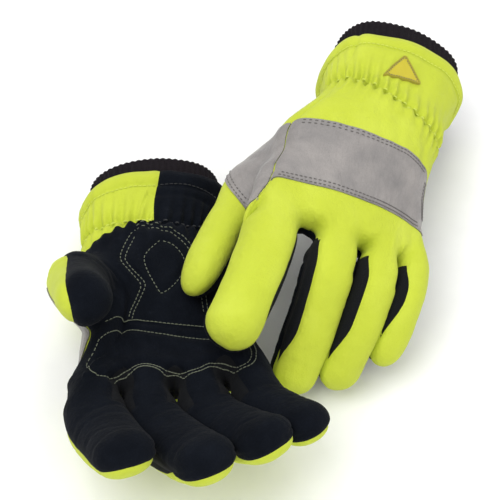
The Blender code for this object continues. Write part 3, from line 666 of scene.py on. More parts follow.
def stitches(name, world, normal, tangent, length, radius, mat):
    """Short rounded threads lying along tangent at each world point."""
    b = np.cross(normal, tangent)
    prof = [(-0.5, 0.25, -0.5), (-0.34, 0.9, 0.25), (0.0, 1.0, 0.6), (0.34, 0.9, 0.25), (0.5, 0.25, -0.5)]
    ang = np.radians([0, 60, 120, 180, 240, 300])
    n = len(world)
    rings = []
    for s, r, lift in prof:
        c = world + tangent * (s * length) + normal * (lift * radius)
        ring = c[:, None] + (b[:, None] * np.cos(ang)[None, :, None] + normal[:, None] * np.sin(ang)[None, :, None]) * (r * radius)
        rings.append(ring)
    v = np.stack(rings, 1).reshape(n, -1, 3)  # n, 30, 3
    f = grid_faces(5, 6, wrap=True)
    f = (f[None] + (np.arange(n) * 30)[:, None, None]).reshape(-1, 4)
    return new_object(name, v.reshape(-1, 3), f, mat)


# ------------------------------------------------------------------ materials
class Look:
    """One procedural fabric, read from the pattern coordinates so that it follows the bent cloth."""

    def __init__(self, name, rough=0.8):
        self.m = bpy.data.materials.new(name)
        self.m.use_nodes = True
        self.t = self.m.node_tree
        self.b = next(n for n in self.t.nodes if n.type == "BSDF_PRINCIPLED")
        self.b.inputs["Roughness"].default_value = rough
        a = self.t.nodes.new("ShaderNodeAttribute")
        a.attribute_name = "pattern"
        self.at = a.outputs["Vector"]
        self.height = None

    def scaled(self, s):
        n = self.t.nodes.new("ShaderNodeVectorMath")
        n.operation = "MULTIPLY"
        self.t.links.new(self.at, n.inputs[0])
        n.inputs[1].default_value = s if hasattr(s, "__len__") else (s, s, s)
        return n.outputs["Vector"]

    def noise(self, s, detail=2.0, rough=0.5):
        n = self.t.nodes.new("ShaderNodeTexNoise")
        n.inputs["Scale"].default_value = 1.0
        n.inputs["Detail"].default_value = detail
        n.inputs["Roughness"].default_value = rough
        self.t.links.new(self.scaled(s), n.inputs["Vector"])
        return n.outputs["Fac"]

    def voronoi(self, s):
        n = self.t.nodes.new("ShaderNodeTexVoronoi")
        n.inputs["Scale"].default_value = 1.0
        self.t.links.new(self.scaled(s), n.inputs["Vector"])
        return n.outputs["Distance"]

    def wave(self, s, direction="X", distort=0.0):
        n = self.t.nodes.new("ShaderNodeTexWave")
        n.bands_direction = direction
        n.inputs["Scale"].default_value = 1.0 / (2 * math.pi) * 3.1416
        n.inputs["Distortion"].default_value = distort
        n.inputs["Detail"].default_value = 1.0
        self.t.links.new(self.scaled(s), n.inputs["Vector"])
        return n.outputs["Fac"]

    def math(self, op, a, b):
        n = self.t.nodes.new("ShaderNodeMath")
        n.operation = op
        for i, x in enumerate((a, b)):
            if isinstance(x, (int, float)):
                n.inputs[i].default_value = x
            else:
                self.t.links.new(x, n.inputs[i])
        return n.outputs[0]

    def ramp(self, fac, stops):
        n = self.t.nodes.new("ShaderNodeValToRGB")
        r = n.color_ramp
        while len(r.elements) < len(stops):
            r.elements.new(0.5)
        for e, (p, c) in zip(r.elements, stops):
            e.position = p
            e.color = (*c, 1.0) if hasattr(c, "__len__") else (c, c, c, 1.0)
        self.t.links.new(fac, n.inputs[0])
        return n.outputs[0]

    def mix(self, fac, a, b, kind="MIX"):
        n = self.t.nodes.new("ShaderNodeMix")
        n.data_type = "RGBA"
        n.blend_type = kind
        for socket, x in ((n.inputs[0], fac), (n.inputs[6], a), (n.inputs[7], b)):
            if isinstance(x, (int, float)):
                socket.default_value = x
            elif hasattr(x, "__len__"):
                socket.default_value = (*x, 1.0)
            else:
                self.t.links.new(x, socket)
        return n.outputs[2]

    def colour(self, c):
        self.t.links.new(c, self.b.inputs["Base Color"])

    def roughness(self, c):
        self.t.links.new(c, self.b.inputs["Roughness"])

    def bump(self, height, distance, strength=1.0):
        n = self.t.nodes.new("ShaderNodeBump")
        n.inputs["Strength"].default_value = strength
        n.inputs["Distance"].default_value = distance
        self.t.links.new(height, n.inputs["Height"])
        if self.height is not None:
            self.t.links.new(self.height, n.inputs["Normal"])
        self.height = n.outputs["Normal"]
        self.t.links.new(self.height, self.b.inputs["Normal"])

    def set(self, **k):
        for name, v in k.items():
            self.b.inputs[name.replace("_", " ")].default_value = v


def srgb(h):
    c = [int(h[i:i + 2], 16) / 255 for i in (0, 2, 4)]
    return tuple(x / 12.92 if x <= 0.04045 else ((x + 0.055) / 1.055) ** 2.4 for x in c)


def times(c, k):
    return tuple(x * k for x in c)


YELLOW = (0.535, 0.618, 0.040)


def make_yellow():
    L = Look("hi-vis softshell", 0.72)
    L.set(Sheen_Weight=0.06, Sheen_Roughness=0.45, Specular_IOR_Level=0.28)
    big = L.noise(0.028, 3.0, 0.55)
    base = L.ramp(big, [(0.30, times(YELLOW, 0.93)), (0.52, YELLOW), (0.74, (0.595, 0.680, 0.064))])
    fine = L.noise((1.5, 1.5, 1.5), 3.0, 0.6)
    base = L.mix(L.math("MULTIPLY", fine, 0.28), base, times(YELLOW, 0.72))
    knit = L.math("MULTIPLY", L.wave((2.6, 0.0, 0.7), "X", 0.6), L.wave((0.0, 3.4, 1.1), "Y", 0.6))
    base = L.mix(L.math("MULTIPLY", knit, 0.12), base, (0.78, 0.86, 0.16))
    soil = L.ramp(L.noise(0.085, 4.0, 0.62), [(0.60, 0.0), (0.86, 1.0)])
    base = L.mix(L.math("MULTIPLY", soil, 0.10), base, (0.42, 0.47, 0.10))
    L.colour(base)
    L.roughness(L.ramp(L.noise(0.10, 2.0), [(0.3, 0.66), (0.7, 0.80)]))
    L.bump(knit, 0.00012, 0.5)
    L.bump(L.noise(0.9, 4.0, 0.6), 0.00045, 0.55)
    L.bump(L.noise(0.22, 3.0, 0.5), 0.0016, 0.45)
    return L.m


def make_suede(name, dark, light, blue=0.0):
    L = Look(name, 0.86)
    L.set(Sheen_Weight=0.028, Sheen_Roughness=0.45, Specular_IOR_Level=0.04)
    cloud = L.noise(0.06, 5.0, 0.62)
    base = L.ramp(cloud, [(0.28, dark), (0.55, times([(a + b) / 2 for a, b in zip(dark, light)], 1.0)), (0.80, light)])
    nap = L.noise((1.1, 0.5, 1.1), 4.0, 0.7)
    base = L.mix(L.math("MULTIPLY", nap, 0.35), base, times(light, 1.5))
    pits = L.ramp(L.voronoi(0.9), [(0.05, 1.0), (0.30, 0.0)])
    base = L.mix(L.math("MULTIPLY", pits, 0.35), base, times(dark, 0.5))
    rub = L.ramp(L.noise(0.16, 5.0, 0.7), [(0.58, 0.0), (0.80, 1.0)])
    base = L.mix(L.math("MULTIPLY", rub, 0.30), base, times(light, 2.1))
    L.colour(base)
    L.roughness(L.ramp(rub, [(0.0, 0.90), (1.0, 0.70)]))
    L.bump(L.noise(1.3, 5.0, 0.68), 0.0004, 0.6)
    L.bump(L.voronoi(0.5), 0.00035, 0.35)
    L.bump(L.noise(0.30, 3.0, 0.5), 0.0013, 0.4)
    return L.m


def make_strip():
    L = Look("side strip twill", 0.8)
    L.set(Sheen_Weight=0.02, Specular_IOR_Level=0.12)
    twill = L.wave((1.7, 1.7, 2.4), "DIAGONAL", 0.3)
    base = L.mix(L.math("MULTIPLY", twill, 0.5), (0.0026, 0.0030, 0.0040), (0.0078, 0.0086, 0.0104))
    base = L.mix(L.math("MULTIPLY", L.noise(0.2, 4.0, 0.6), 0.4), base, (0.0100, 0.0110, 0.0130))
    L.colour(base)
    L.bump(twill, 0.00025, 0.6)
    L.bump(L.noise(0.5, 4.0, 0.6), 0.0006, 0.5)
    return L.m


def make_tape():
    L = Look("reflective tape", 0.5)
    L.set(Metallic=0.0, Specular_IOR_Level=0.5, Sheen_Weight=0.25, Sheen_Roughness=0.3)
    bead = L.voronoi(2.4)
    grey, pale = srgb("787574"), srgb("9f9995")
    base = L.ramp(L.noise(0.045, 4.0, 0.6), [(0.28, grey), (0.72, pale)])
    base = L.mix(L.math("MULTIPLY", bead, 0.35), base, times(grey, 0.6))
    scuff = L.ramp(L.noise((0.5, 0.09, 0.5), 5.0, 0.65), [(0.56, 0.0), (0.72, 1.0)])
    base = L.mix(L.math("MULTIPLY", scuff, 0.30), base, srgb("6f6b69"))
    L.colour(base)
    L.roughness(L.ramp(L.noise(0.3, 3.0), [(0.3, 0.42), (0.7, 0.62)]))
    L.bump(bead, 0.0001, 0.6)
    L.bump(L.noise((0.35, 0.12, 0.35), 4.0, 0.6), 0.0011, 0.6)
    return L.m


def make_knit():
    L = Look("rib knit", 0.92)
    L.set(Sheen_Weight=0.03, Sheen_Roughness=0.5, Specular_IOR_Level=0.08)
    loops = L.wave((0.0, 3.0, 0.0), "Y", 1.5)
    base = L.mix(loops, srgb("0e0a10"), srgb("261e26"))
    base = L.mix(L.math("MULTIPLY", L.noise(0.5, 5.0, 0.7), 0.6), base, srgb("1a1218"))
    L.colour(base)
    L.bump(loops, 0.0005, 0.7)
    L.bump(L.noise(1.6, 4.0, 0.7), 0.0004, 0.7)
    return L.m


def make_fleece():
    L = Look("fleece lining", 0.95)
    L.set(Sheen_Weight=0.05, Sheen_Roughness=0.6, Specular_IOR_Level=0.05)
    base = L.mix(L.noise(0.6, 5.0, 0.7), srgb("0c0c0e"), srgb("202024"))
    L.colour(base)
    L.bump(L.noise(0.8, 5.0, 0.8), 0.0016, 0.9)
    return L.m


def make_thread(name, c):
    L = Look(name, 0.6)
    L.set(Sheen_Weight=0.2, Specular_IOR_Level=0.4)
    ply = L.wave((2.2, 2.2, 2.2), "DIAGONAL", 0.0)
    L.colour(L.mix(L.math("MULTIPLY", ply, 0.45), c, times(c, 0.7)))
    L.bump(ply, 0.0002, 0.6)
    return L.m


def make_patch(name, c, dark):
    L = Look(name, 0.7)
    L.set(Sheen_Weight=0.08, Specular_IOR_Level=0.3)
    weave = L.math("MULTIPLY", L.wave((3.6, 0.0, 0.4), "X", 0.3), L.wave((0.0, 3.6, 0.4), "Y", 0.3))
    base = L.mix(weave, dark, c)
    base = L.mix(L.math("MULTIPLY", L.noise(0.5, 4.0, 0.6), 0.3), base, dark)
    L.colour(base)
    L.bump(weave, 0.0002, 0.7)
    L.bump(L.noise(0.8, 3.0), 0.0004, 0.4)
    return L.m


def make_floor():
    L = Look("pale floor", 0.9)
    g = L.t.nodes.new("ShaderNodeNewGeometry")
    L.at = g.outputs["Position"]
    L.colour(L.ramp(L.noise(60.0, 3.0), [(0.3, (0.93, 0.93, 0.93)), (0.7, (0.95, 0.95, 0.95))]))
    L.bump(L.noise(900.0, 3.0), 0.0001, 0.2)
    L.set(Specular_IOR_Level=0.1)
    return L.m


MAT = {
    "shell_yellow": make_yellow(),
    "suede_black": make_suede("palm suede", (0.0021, 0.0028, 0.0046), (0.0062, 0.0079, 0.0119)),
    "side_black": make_strip(),
    "reflective_grey": make_tape(),
    "knit_black": make_knit(),
    "liner_fleece": make_fleece(),
    "thread_yellow": make_thread("yellow thread", (0.70, 0.80, 0.10)),
    "thread_olive": make_thread("olive thread", srgb("6f755f")),
    "thread_black": make_thread("black thread", srgb("1a1c20")),
    "thread_grey": make_thread("grey thread", srgb("66625f")),
    "patch": make_patch("woven patch", (0.72, 0.64, 0.040), (0.60, 0.50, 0.028)),
    "patch_edge": make_patch("overlocked edge", (0.50, 0.44, 0.045), (0.36, 0.30, 0.030)),
}


def add(name, v, f, mat, P, pattern, normals=None, body=None, cuff=True):
    """v in metres in the world."""
    ob = new_object(name, v, f, MAT[mat], normals)
    at = ob.data.attributes.new("pattern", "FLOAT_VECTOR", "POINT")
    at.data.foreach_set("vector", np.asarray(pattern, np.float32).ravel())
    return ob


def build_form(P):
    lo, hi = np.array([-84.0, -3.0, -66.0]), np.array([140.0, 208.0, 40.0])
    n = np.ceil((hi - lo) / STEP).astype(int) + 1
    ax = [lo[k] + STEP * np.arange(n[k]) for k in range(3)]
    G = np.stack(np.meshgrid(*ax, indexing="ij"), -1)
    F = np.concatenate([form(G[i:i + 24], P) for i in range(0, n[0], 24)])
    v, q = surface_nets(F, lo, STEP)
    for _ in range(3):
        f, g = form(v, P), gradient(form, v, P)
        v = v - np.clip(f / np.maximum((g * g).sum(1), 0.2), -1, 1)[:, None] * g
    f = np.concatenate([q[:, [0, 1, 2]], q[:, [0, 2, 3]]])
    if (vertex_normals(v, f) * gradient(form, v, P)).sum(1).mean() < 0:
        f = f[:, ::-1]
    return v, f


def cut_by(v, f, fn):
    g = fn(v)
    f, carry = cut_mesh(v, f, g)
    return carry(v), f


def skirt(v, n, f, depth):
    """A wall going down from the free edges of a patch. Returns extra vertices, their source, and faces."""
    e = np.concatenate([f[:, [0, 1]], f[:, [1, 2]], f[:, [2, 0]]])
    key = np.sort(e, 1)
    _, inv, cnt = np.unique(key, axis=0, return_inverse=True, return_counts=True)
    b = e[cnt[inv.ravel()] == 1]
    ids = np.unique(b)
    lut = np.full(len(v), -1)
    lut[ids] = np.arange(len(ids)) + len(v)
    low = v[ids] - n[ids] * depth
    q = np.stack([b[:, 0], lut[b[:, 0]], lut[b[:, 1]], b[:, 1]], -1)
    return low, ids, np.concatenate([q[:, [0, 2, 1]][:, ::1], q[:, [0, 3, 2]]])[:, ::1]


def tube(rows, ang, y, inset=0.0):
    """Points on the cuff's cross-section at angle ang (degrees, 0 at the thumb side, 90 at the back) and height y."""
    xl, xr, zt, zb = table(rows, np.clip(y, rows[0][0], rows[-1][0]))
    c, s = np.cos(np.radians(ang)), np.sin(np.radians(ang))
    r = 1 / (abs(c) ** 2.38 + abs(s) ** 2.38) ** (1 / 2.38)
    x = (xl + xr) / 2 + ((xr - xl) / 2 - inset) * r * c
    z = (np.where(s > 0, zt, -zb) - inset) * r * s
    return np.stack([x, y + 0 * ang, z], -1)


def tube_normals(rows, m):
    def field(p):
        xl, xr, zt, zb = table(rows, np.clip(p[..., 1], rows[0][0], rows[-1][0]))
        u = abs(p[..., 0] - (xl + xr) / 2) / ((xr - xl) / 2)
        v = abs(p[..., 2]) / np.where(p[..., 2] > 0, zt, -zb)
        return (u ** 2.38 + v ** 2.38 + 1e-9) ** (1 / 2.38)
    g = np.zeros_like(m)
    for k in range(3):
        e = np.zeros(3)
        e[k] = 0.3
        g[..., k] = field(m + e) - field(m - e)
    return unit(g)


def unit(a):
    return a / np.maximum(np.linalg.norm(a, axis=-1, keepdims=True), 1e-12)


def settle(m, P):
    """Moves points onto the smooth form."""
    for _ in range(5):
        f, g = form(m, P), gradient(form, m, P)
        m = m - np.clip(f / np.maximum((g * g).sum(1), 0.2), -2, 2)[:, None] * g
    return m


def lifted(m, P, extra=0.0):
    """World place and normal of points on the form, with the fabric's relief."""
    n = unit(gradient(form, m, P))
    d = m + n * (relief(m, P) + extra)[:, None]
    w = to_world(d, P)
    wn = unit(to_world(d + 0.5 * n, P) - w)
    return w, wn, n, d


def faced(f, P):
    """Faces turned to look outwards in the world."""
    return f if P["up"] > 0 else f[:, ::-1]


def sew(name, line, P, thread, pitch=2.5, length=1.9, radius=0.32, lift=0.12, projected=False):
    """A run of stitches along a line of points on the form."""
    m, _ = resample(settle(line, P) if not projected else line, pitch)
    m = settle(m, P)
    if len(m) < 2:
        return
    w, wn, n, d = lifted(m, P, lift)
    t = unit(np.gradient(w, axis=0))
    wn = unit(wn - t * (wn * t).sum(1)[:, None])
    ob = stitches(name, w, wn, t, length * 1e-3, radius * 1e-3, MAT[thread])
    at = ob.data.attributes.new("pattern", "FLOAT_VECTOR", "POINT")
    co = np.zeros(len(ob.data.vertices) * 3, np.float32)
    ob.data.vertices.foreach_get("co", co)
    at.data.foreach_set("vector", co * 1000)
    return ob


def flat_line(xy, front, P):
    m, n = on_surface(np.asarray(xy, float), front, P)
    return m[(n[:, 2] * (-1 if front else 1) > 0.55) & (abs(form(m, P)) < 0.3)]


def beside(xy, d):
    """A line at distance d beside a flat one."""
    t = unit(np.gradient(xy, axis=0))
    return xy + np.stack([-t[:, 1], t[:, 0]], -1) * d


def smin3(a, b, k):
    return smin(a, b, k)


def tape_main(m, P):
    """Above zero on the main piece of the reflective band."""
    y = m[..., 1]
    a = angle_of(m)
    a = np.where(a < -90, a + 360, a)
    rad = np.radians(150 - a) * 33.0
    rad = rad + 0.30 * (y - 66) * (y > 66)
    top = y - (P["band"][0] + 1.5 * sstep((m[..., 0] + 10) / -25.0))
    low = P["band"][1] - y
    R = 9.0
    ends = R - np.hypot(np.maximum(R - rad, 0), np.maximum(R - np.minimum(top, low), 0))
    return np.minimum(np.minimum(ends, -side_seam(m) - 0.2), m[..., 2] + 4.0)


def tape_side(m, P):
    y = m[..., 1]
    x = m[..., 0] / spread(y)
    top = y - P["band"][0] + 0.10 * (x - 45)
    q = thumb_local(m, P)
    low = (P["tape_low"] + 0.76 * (6.4 - q[..., 0]) - q[..., 1]) / 1.256
    return np.minimum(np.minimum(top, low), np.minimum(side_seam(m) - 0.2, np.minimum(back_field(m, P) - 0.8, m[..., 2] + 24)))


def finish_patch(name, v, f, n, P, mat, thick, keep):
    """A thin patch lying on the fabric: the kept faces lifted by thick, with a wall down to the fabric."""
    used, g = np.unique(f[keep], return_inverse=True)
    if not len(used):
        return None
    g = g.reshape(-1, 3)
    m, nn = v[used], n[used]
    d = relief(m, P)
    top = m + nn * (d + thick)[:, None]
    low, ids, wall = skirt(top, nn, g, thick + 0.5)
    allm = np.concatenate([top, low])
    f2 = np.concatenate([g, wall])
    w = to_world(allm, P)
    f2 = faced(f2, P)
    return add(name, w, f2, mat, P, allm)


def glove(side):
    P = POSE[side]
    v, f = build_form(P)
    for fn in (lambda m: m[:, 1] - wrist_line(m, P) + 0.3, lambda m: np.clip(back_field(m, P), -9, 9),
               lambda m: np.clip(slot_field(m, P), -9, 9), lambda m: np.clip(digit_field(m, P), -9, 9)):
        v, f = cut_by(v, f, fn)
    v = settle(v, P)
    n = unit(gradient(form, v, P))
    c = v[f].mean(1)
    d = v + n * relief(v, P)[:, None]
    w = to_world(d, P)
    wn = vertex_normals(w, faced(f, P))
    isback, slot_, dig = back_field(c, P) > 0, slot_field(c, P) < 0, digit_field(c, P) > 0
    wrist = c[:, 1] - wrist_line(c, P) + 0.3 > 0
    which = np.where(dig, digit_index(c, P), -1)
    out = {}
    for body, sel in [("hand", ~dig)] + [(nm, which == k) for k, nm in enumerate(("thumb",) + FINGERS)]:
        for part, on, mat in (("back", isback & ~slot_, "shell_yellow"), ("front", ~isback & ~slot_, "suede_black"), ("strip", slot_, "side_black")):
            keep = sel & on & wrist
            if keep.sum() < 4:
                continue
            used, g = np.unique(f[keep], return_inverse=True)
            g = faced(g.reshape(-1, 3), P)
            ob = add(f"{side}_{body}_{part}_cloth", w[used], g, mat, P, d[used], wn[used])
            out[(body, part)] = ob
    return P, v, f, n, out


def digit_field(m, P):
    """Above zero beyond a digit's root."""
    x, y = m[..., 0], m[..., 1]
    e = [c[0] for c in M_CROTCH]
    base = np.where(x > e[0], DIGITS["index"][1], np.where(x > e[1], DIGITS["middle"][1], np.where(x > e[2], DIGITS["ring"][1], DIGITS["little"][1])))
    q = thumb_local(m, P)
    th = np.minimum(q[..., 1] - 13, 26 - np.hypot(q[..., 0], q[..., 2]))
    return np.maximum(y - base - 6, th)


def digit_index(m, P):
    x, y = m[..., 0], m[..., 1]
    e = [c[0] for c in M_CROTCH]
    q = thumb_local(m, P)
    th = (q[..., 1] > 13) & (np.hypot(q[..., 0], q[..., 2]) < 26)
    return np.where(th, 0, np.where(x > e[0], 1, np.where(x > e[1], 2, np.where(x > e[2], 3, 4))))


def tube_mesh(name, M, P, mat, keep=None, wn=None, pattern=None):
    """A closed band of rows (rows, columns, 3) in pattern space, turned to look outwards."""
    R, N = M.shape[:2]
    q = grid_faces(R, N, wrap=True)
    flat = M.reshape(-1, 3)
    w = to_world(flat, P)
    tri = np.concatenate([q[:, [0, 1, 2]], q[:, [0, 2, 3]]])
    nrm = vertex_normals(w, tri)
    k = (R // 6) * N
    mid = w[k:k + N].mean(0)
    if ((w[k:k + N] - mid) * nrm[k:k + N]).sum(1).mean() < 0:
        q, nrm = q[:, ::-1], -nrm
    if keep is not None:
        q = q[keep.reshape(-1)]
    used, g = np.unique(q, return_inverse=True)
    return add(name, w[used], g.reshape(-1, 4), mat, P, (flat if pattern is None else pattern)[used], nrm[used])


def cuffs(side, P):
    seed = 71 if P["up"] > 0 else 93
    N = 480
    ang = -180 + 360.0 * np.arange(N) / N
    # gauntlet, from the gathered line to the rolled hem and back inside
    ys = np.zeros(N)
    for _ in range(4):
        ys = wrist_line(tube(HAND, ang, ys), P)
    end, rr = P["hem"], 1.9
    s = np.linspace(0, 1, 44) ** 0.9
    hem_wave = 1.5 * noise(np.stack([np.cos(np.radians(ang)), np.sin(np.radians(ang)), 0 * ang], -1) * 2.2, 1.0, seed)
    y = ys[None] * (1 - s[:, None]) + (end + hem_wave[None]) * s[:, None] + 0.0
    outer = tube(HAND, ang[None] + 0 * y, y)
    nn = tube_normals(HAND, outer)
    d = relief(outer, P)
    for a0 in (-164.0, 196.0, -94.7):
        d = d - 0.7 * bump((ang[None] - a0) * 0.6, 1.2) + 0.3 * bump(abs((ang[None] - a0) * 0.6) - 3.5, 2.5)
    d = d - 1.0 * bump(y - (end + hem_wave + 8.4), 1.5) + 1.5 * bump(y - (end + hem_wave + 3.0), 3.6)
    outer = outer + nn * d[..., None]
    a = np.radians(np.linspace(0, 180, 10)[1:])
    roll_y = (end + hem_wave)[None] - rr * np.sin(a)[:, None] * 1.0
    roll_in = rr * (1 - np.cos(a))[:, None] + 0 * ang[None]
    last, ln = outer[-1], nn[-1]
    ln = unit(ln * np.array([1, 0, 1]))
    roll = last[None] - ln[None] * roll_in[..., None] + np.array([0, 1.0, 0]) * (roll_y - (end + hem_wave)[None])[..., None]
    back_y = np.linspace(0, 19, 9)[1:]
    inner = roll[-1][None] + np.array([0, 1.0, 0]) * back_y[:, None, None] - ln[None] * (0.16 * back_y)[:, None, None]
    M = np.concatenate([outer, roll, inner])
    black = (ang >= -164) & (ang < -94.7)
    rows = M.shape[0] - 1
    kb = np.tile(black, (rows, 1))
    yel = tube_mesh(f"{side}_gauntlet_back_cloth", M, P, "shell_yellow", ~kb)
    blk = tube_mesh(f"{side}_gauntlet_palm_cloth", M, P, "suede_black", kb)
    # rib knit cuff, doubled over at its edge
    ribs, per = 66, 8
    N2 = ribs * per
    ang2 = -180 + 360.0 * np.arange(N2) / N2
    rib = (0.5 + 0.5 * np.cos(np.radians(ang2) * ribs)) ** 0.8
    circ = np.stack([np.cos(np.radians(ang2)), np.sin(np.radians(ang2)), 0 * ang2], -1)
    lip = 1.2 * noise(circ * 1.7, 1.0, seed + 1)
    yk = np.linspace(-3, P["knit"], 36)[:, None] + lip[None] * sstep((-np.linspace(-3, P["knit"], 36) - 20) / 20)[:, None]
    o = tube(KNIT, ang2[None] + 0 * yk, yk)
    kn = tube_normals(KNIT, o)
    soft = 0.9 * noise(np.stack([circ[None, :, 0] * 20 + 0 * yk, yk * 0.8, circ[None, :, 1] * 20 + 0 * yk], -1), 11.0, seed + 2)
    o = o + kn * (0.75 * rib[None] + soft - 0.9 * bump(yk + 21, 1.2))[..., None]
    kr = 1.5
    a = np.radians(np.linspace(0, 180, 9)[1:])
    ln = unit(kn[-1] * np.array([1, 0, 1]))
    rl = o[-1][None] - ln[None] * (kr * (1 - np.cos(a)))[:, None, None] - np.array([0, 1.0, 0]) * (kr * np.sin(a))[:, None, None]
    by = np.linspace(0, 22, 10)[1:]
    inn = rl[-1][None] + np.array([0, 1.0, 0]) * by[:, None, None] - ln[None] * (0.11 * by)[:, None, None] + ln[None] * (0.35 * (rib - 0.5))[None, :, None] * 0
    knit = tube_mesh(f"{side}_knit_cloth", np.concatenate([o, rl, inn]), P, "knit_black")
    # fleece lining, closing towards the palm
    N3 = 120
    ang3 = -180 + 360.0 * np.arange(N3) / N3
    yl = np.linspace(-20, 40, 26)[:, None]
    L = tube(KNIT, ang3[None] + 0 * yl, yl, 4.3)
    L[..., 2] *= 1 - 0.985 * sstep((yl + 14) / 52.0) ** 1.2
    tip = 1 - 0.9 * sstep((yl - 30) / 10)
    L[..., 0] *= tip
    L = L + tube_normals(KNIT, L) * (0.9 * noise(L, 5.0, seed + 3))[..., None]
    lining = tube_mesh(f"{side}_lining_cloth", L[:, ::1], P, "liner_fleece")
    return yel, blk, knit, lining


PATCH = np.array([(83.5, -17.6), (69.8, -0.4), (107.2, -4.4)])  # corners of the bare patch on the cuff: angle, y


def cuff_patch(side, P):
    """A small bare three-cornered patch with a raised woven edge, sewn to the back of the cuff."""
    mid = PATCH.mean(0)
    scale = np.array([0.47, 1.0])  # mm per degree round the cuff
    c = (PATCH - mid) * scale
    tri = []
    for k in range(3):
        a, b = c[k], c[(k + 1) % 3]
        prev = c[(k - 1) % 3]
        p0, p1 = a + 0.10 * (prev - a), a + 0.10 * (b - a)
        for t in np.linspace(0, 1, 7):
            tri.append((1 - t) ** 2 * p0 + 2 * t * (1 - t) * a + t * t * p1)
        for t in np.linspace(0.1, 0.9, 26)[1:-1]:
            tri.append(a + t * (b - a))
    tri = np.array(tri)
    rad = np.array([0.0, 0.25, 0.5, 0.70, 0.84, 0.885, 0.92, 0.955, 0.985, 1.0, 1.0])
    up = np.array([0.85, 0.85, 0.85, 0.82, 0.80, 0.92, 1.20, 1.25, 0.95, 0.45, -2.2])
    rows = [tri * r for r in rad]
    flat = np.stack(rows) / scale + mid
    m = tube(HAND, flat[..., 0], flat[..., 1])
    n = tube_normals(HAND, m)
    under = relief(m, P)
    d = m + n * (0.3 * under + 0.7 * np.percentile(under, 80) + up[:, None])[..., None]
    ring = np.concatenate([np.full((5, len(tri)), 0), np.full((6, len(tri)), 1)])
    local = np.stack([np.stack(rows)[..., 0], np.stack(rows)[..., 1], ring * 5.0], -1)
    q = grid_faces(len(rad), len(tri), wrap=True)
    w = to_world(d.reshape(-1, 3), P)
    tris = np.concatenate([q[:, [0, 1, 2]], q[:, [0, 2, 3]]])
    nw = vertex_normals(w, tris)
    out = unit(to_world((d + n).reshape(-1, 3), P) - w)
    if (nw * out)[len(tri):8 * len(tri)].sum(1).mean() < 0:
        q = q[:, ::-1]
    edge = np.arange(len(q)) >= 4 * len(tri)
    made = []
    for nm, on, mat in (("patch", ~edge, "patch"), ("patch_edge", edge, "patch_edge")):
        used, g = np.unique(q[on], return_inverse=True)
        made.append(add(f"{side}_cuff_{nm}", w[used], g.reshape(-1, 4), mat, P, (local if nm == "patch" else d).reshape(-1, 3)[used]))
    line = (np.concatenate([tri, tri[:1]]) * 0.80) / scale + mid
    ml = tube(HAND, line[:, 0], line[:, 1])
    made.append(sew_on(f"{side}_cuff_patch_stitches", ml, P, "thread_grey", radius=0.20, pitch=1.5, length=1.1,
                       lift=0.90 + 0.7 * (np.percentile(under, 80) - relief(resample(ml, 1.5)[0], P)), tube_rows=True))
    return made


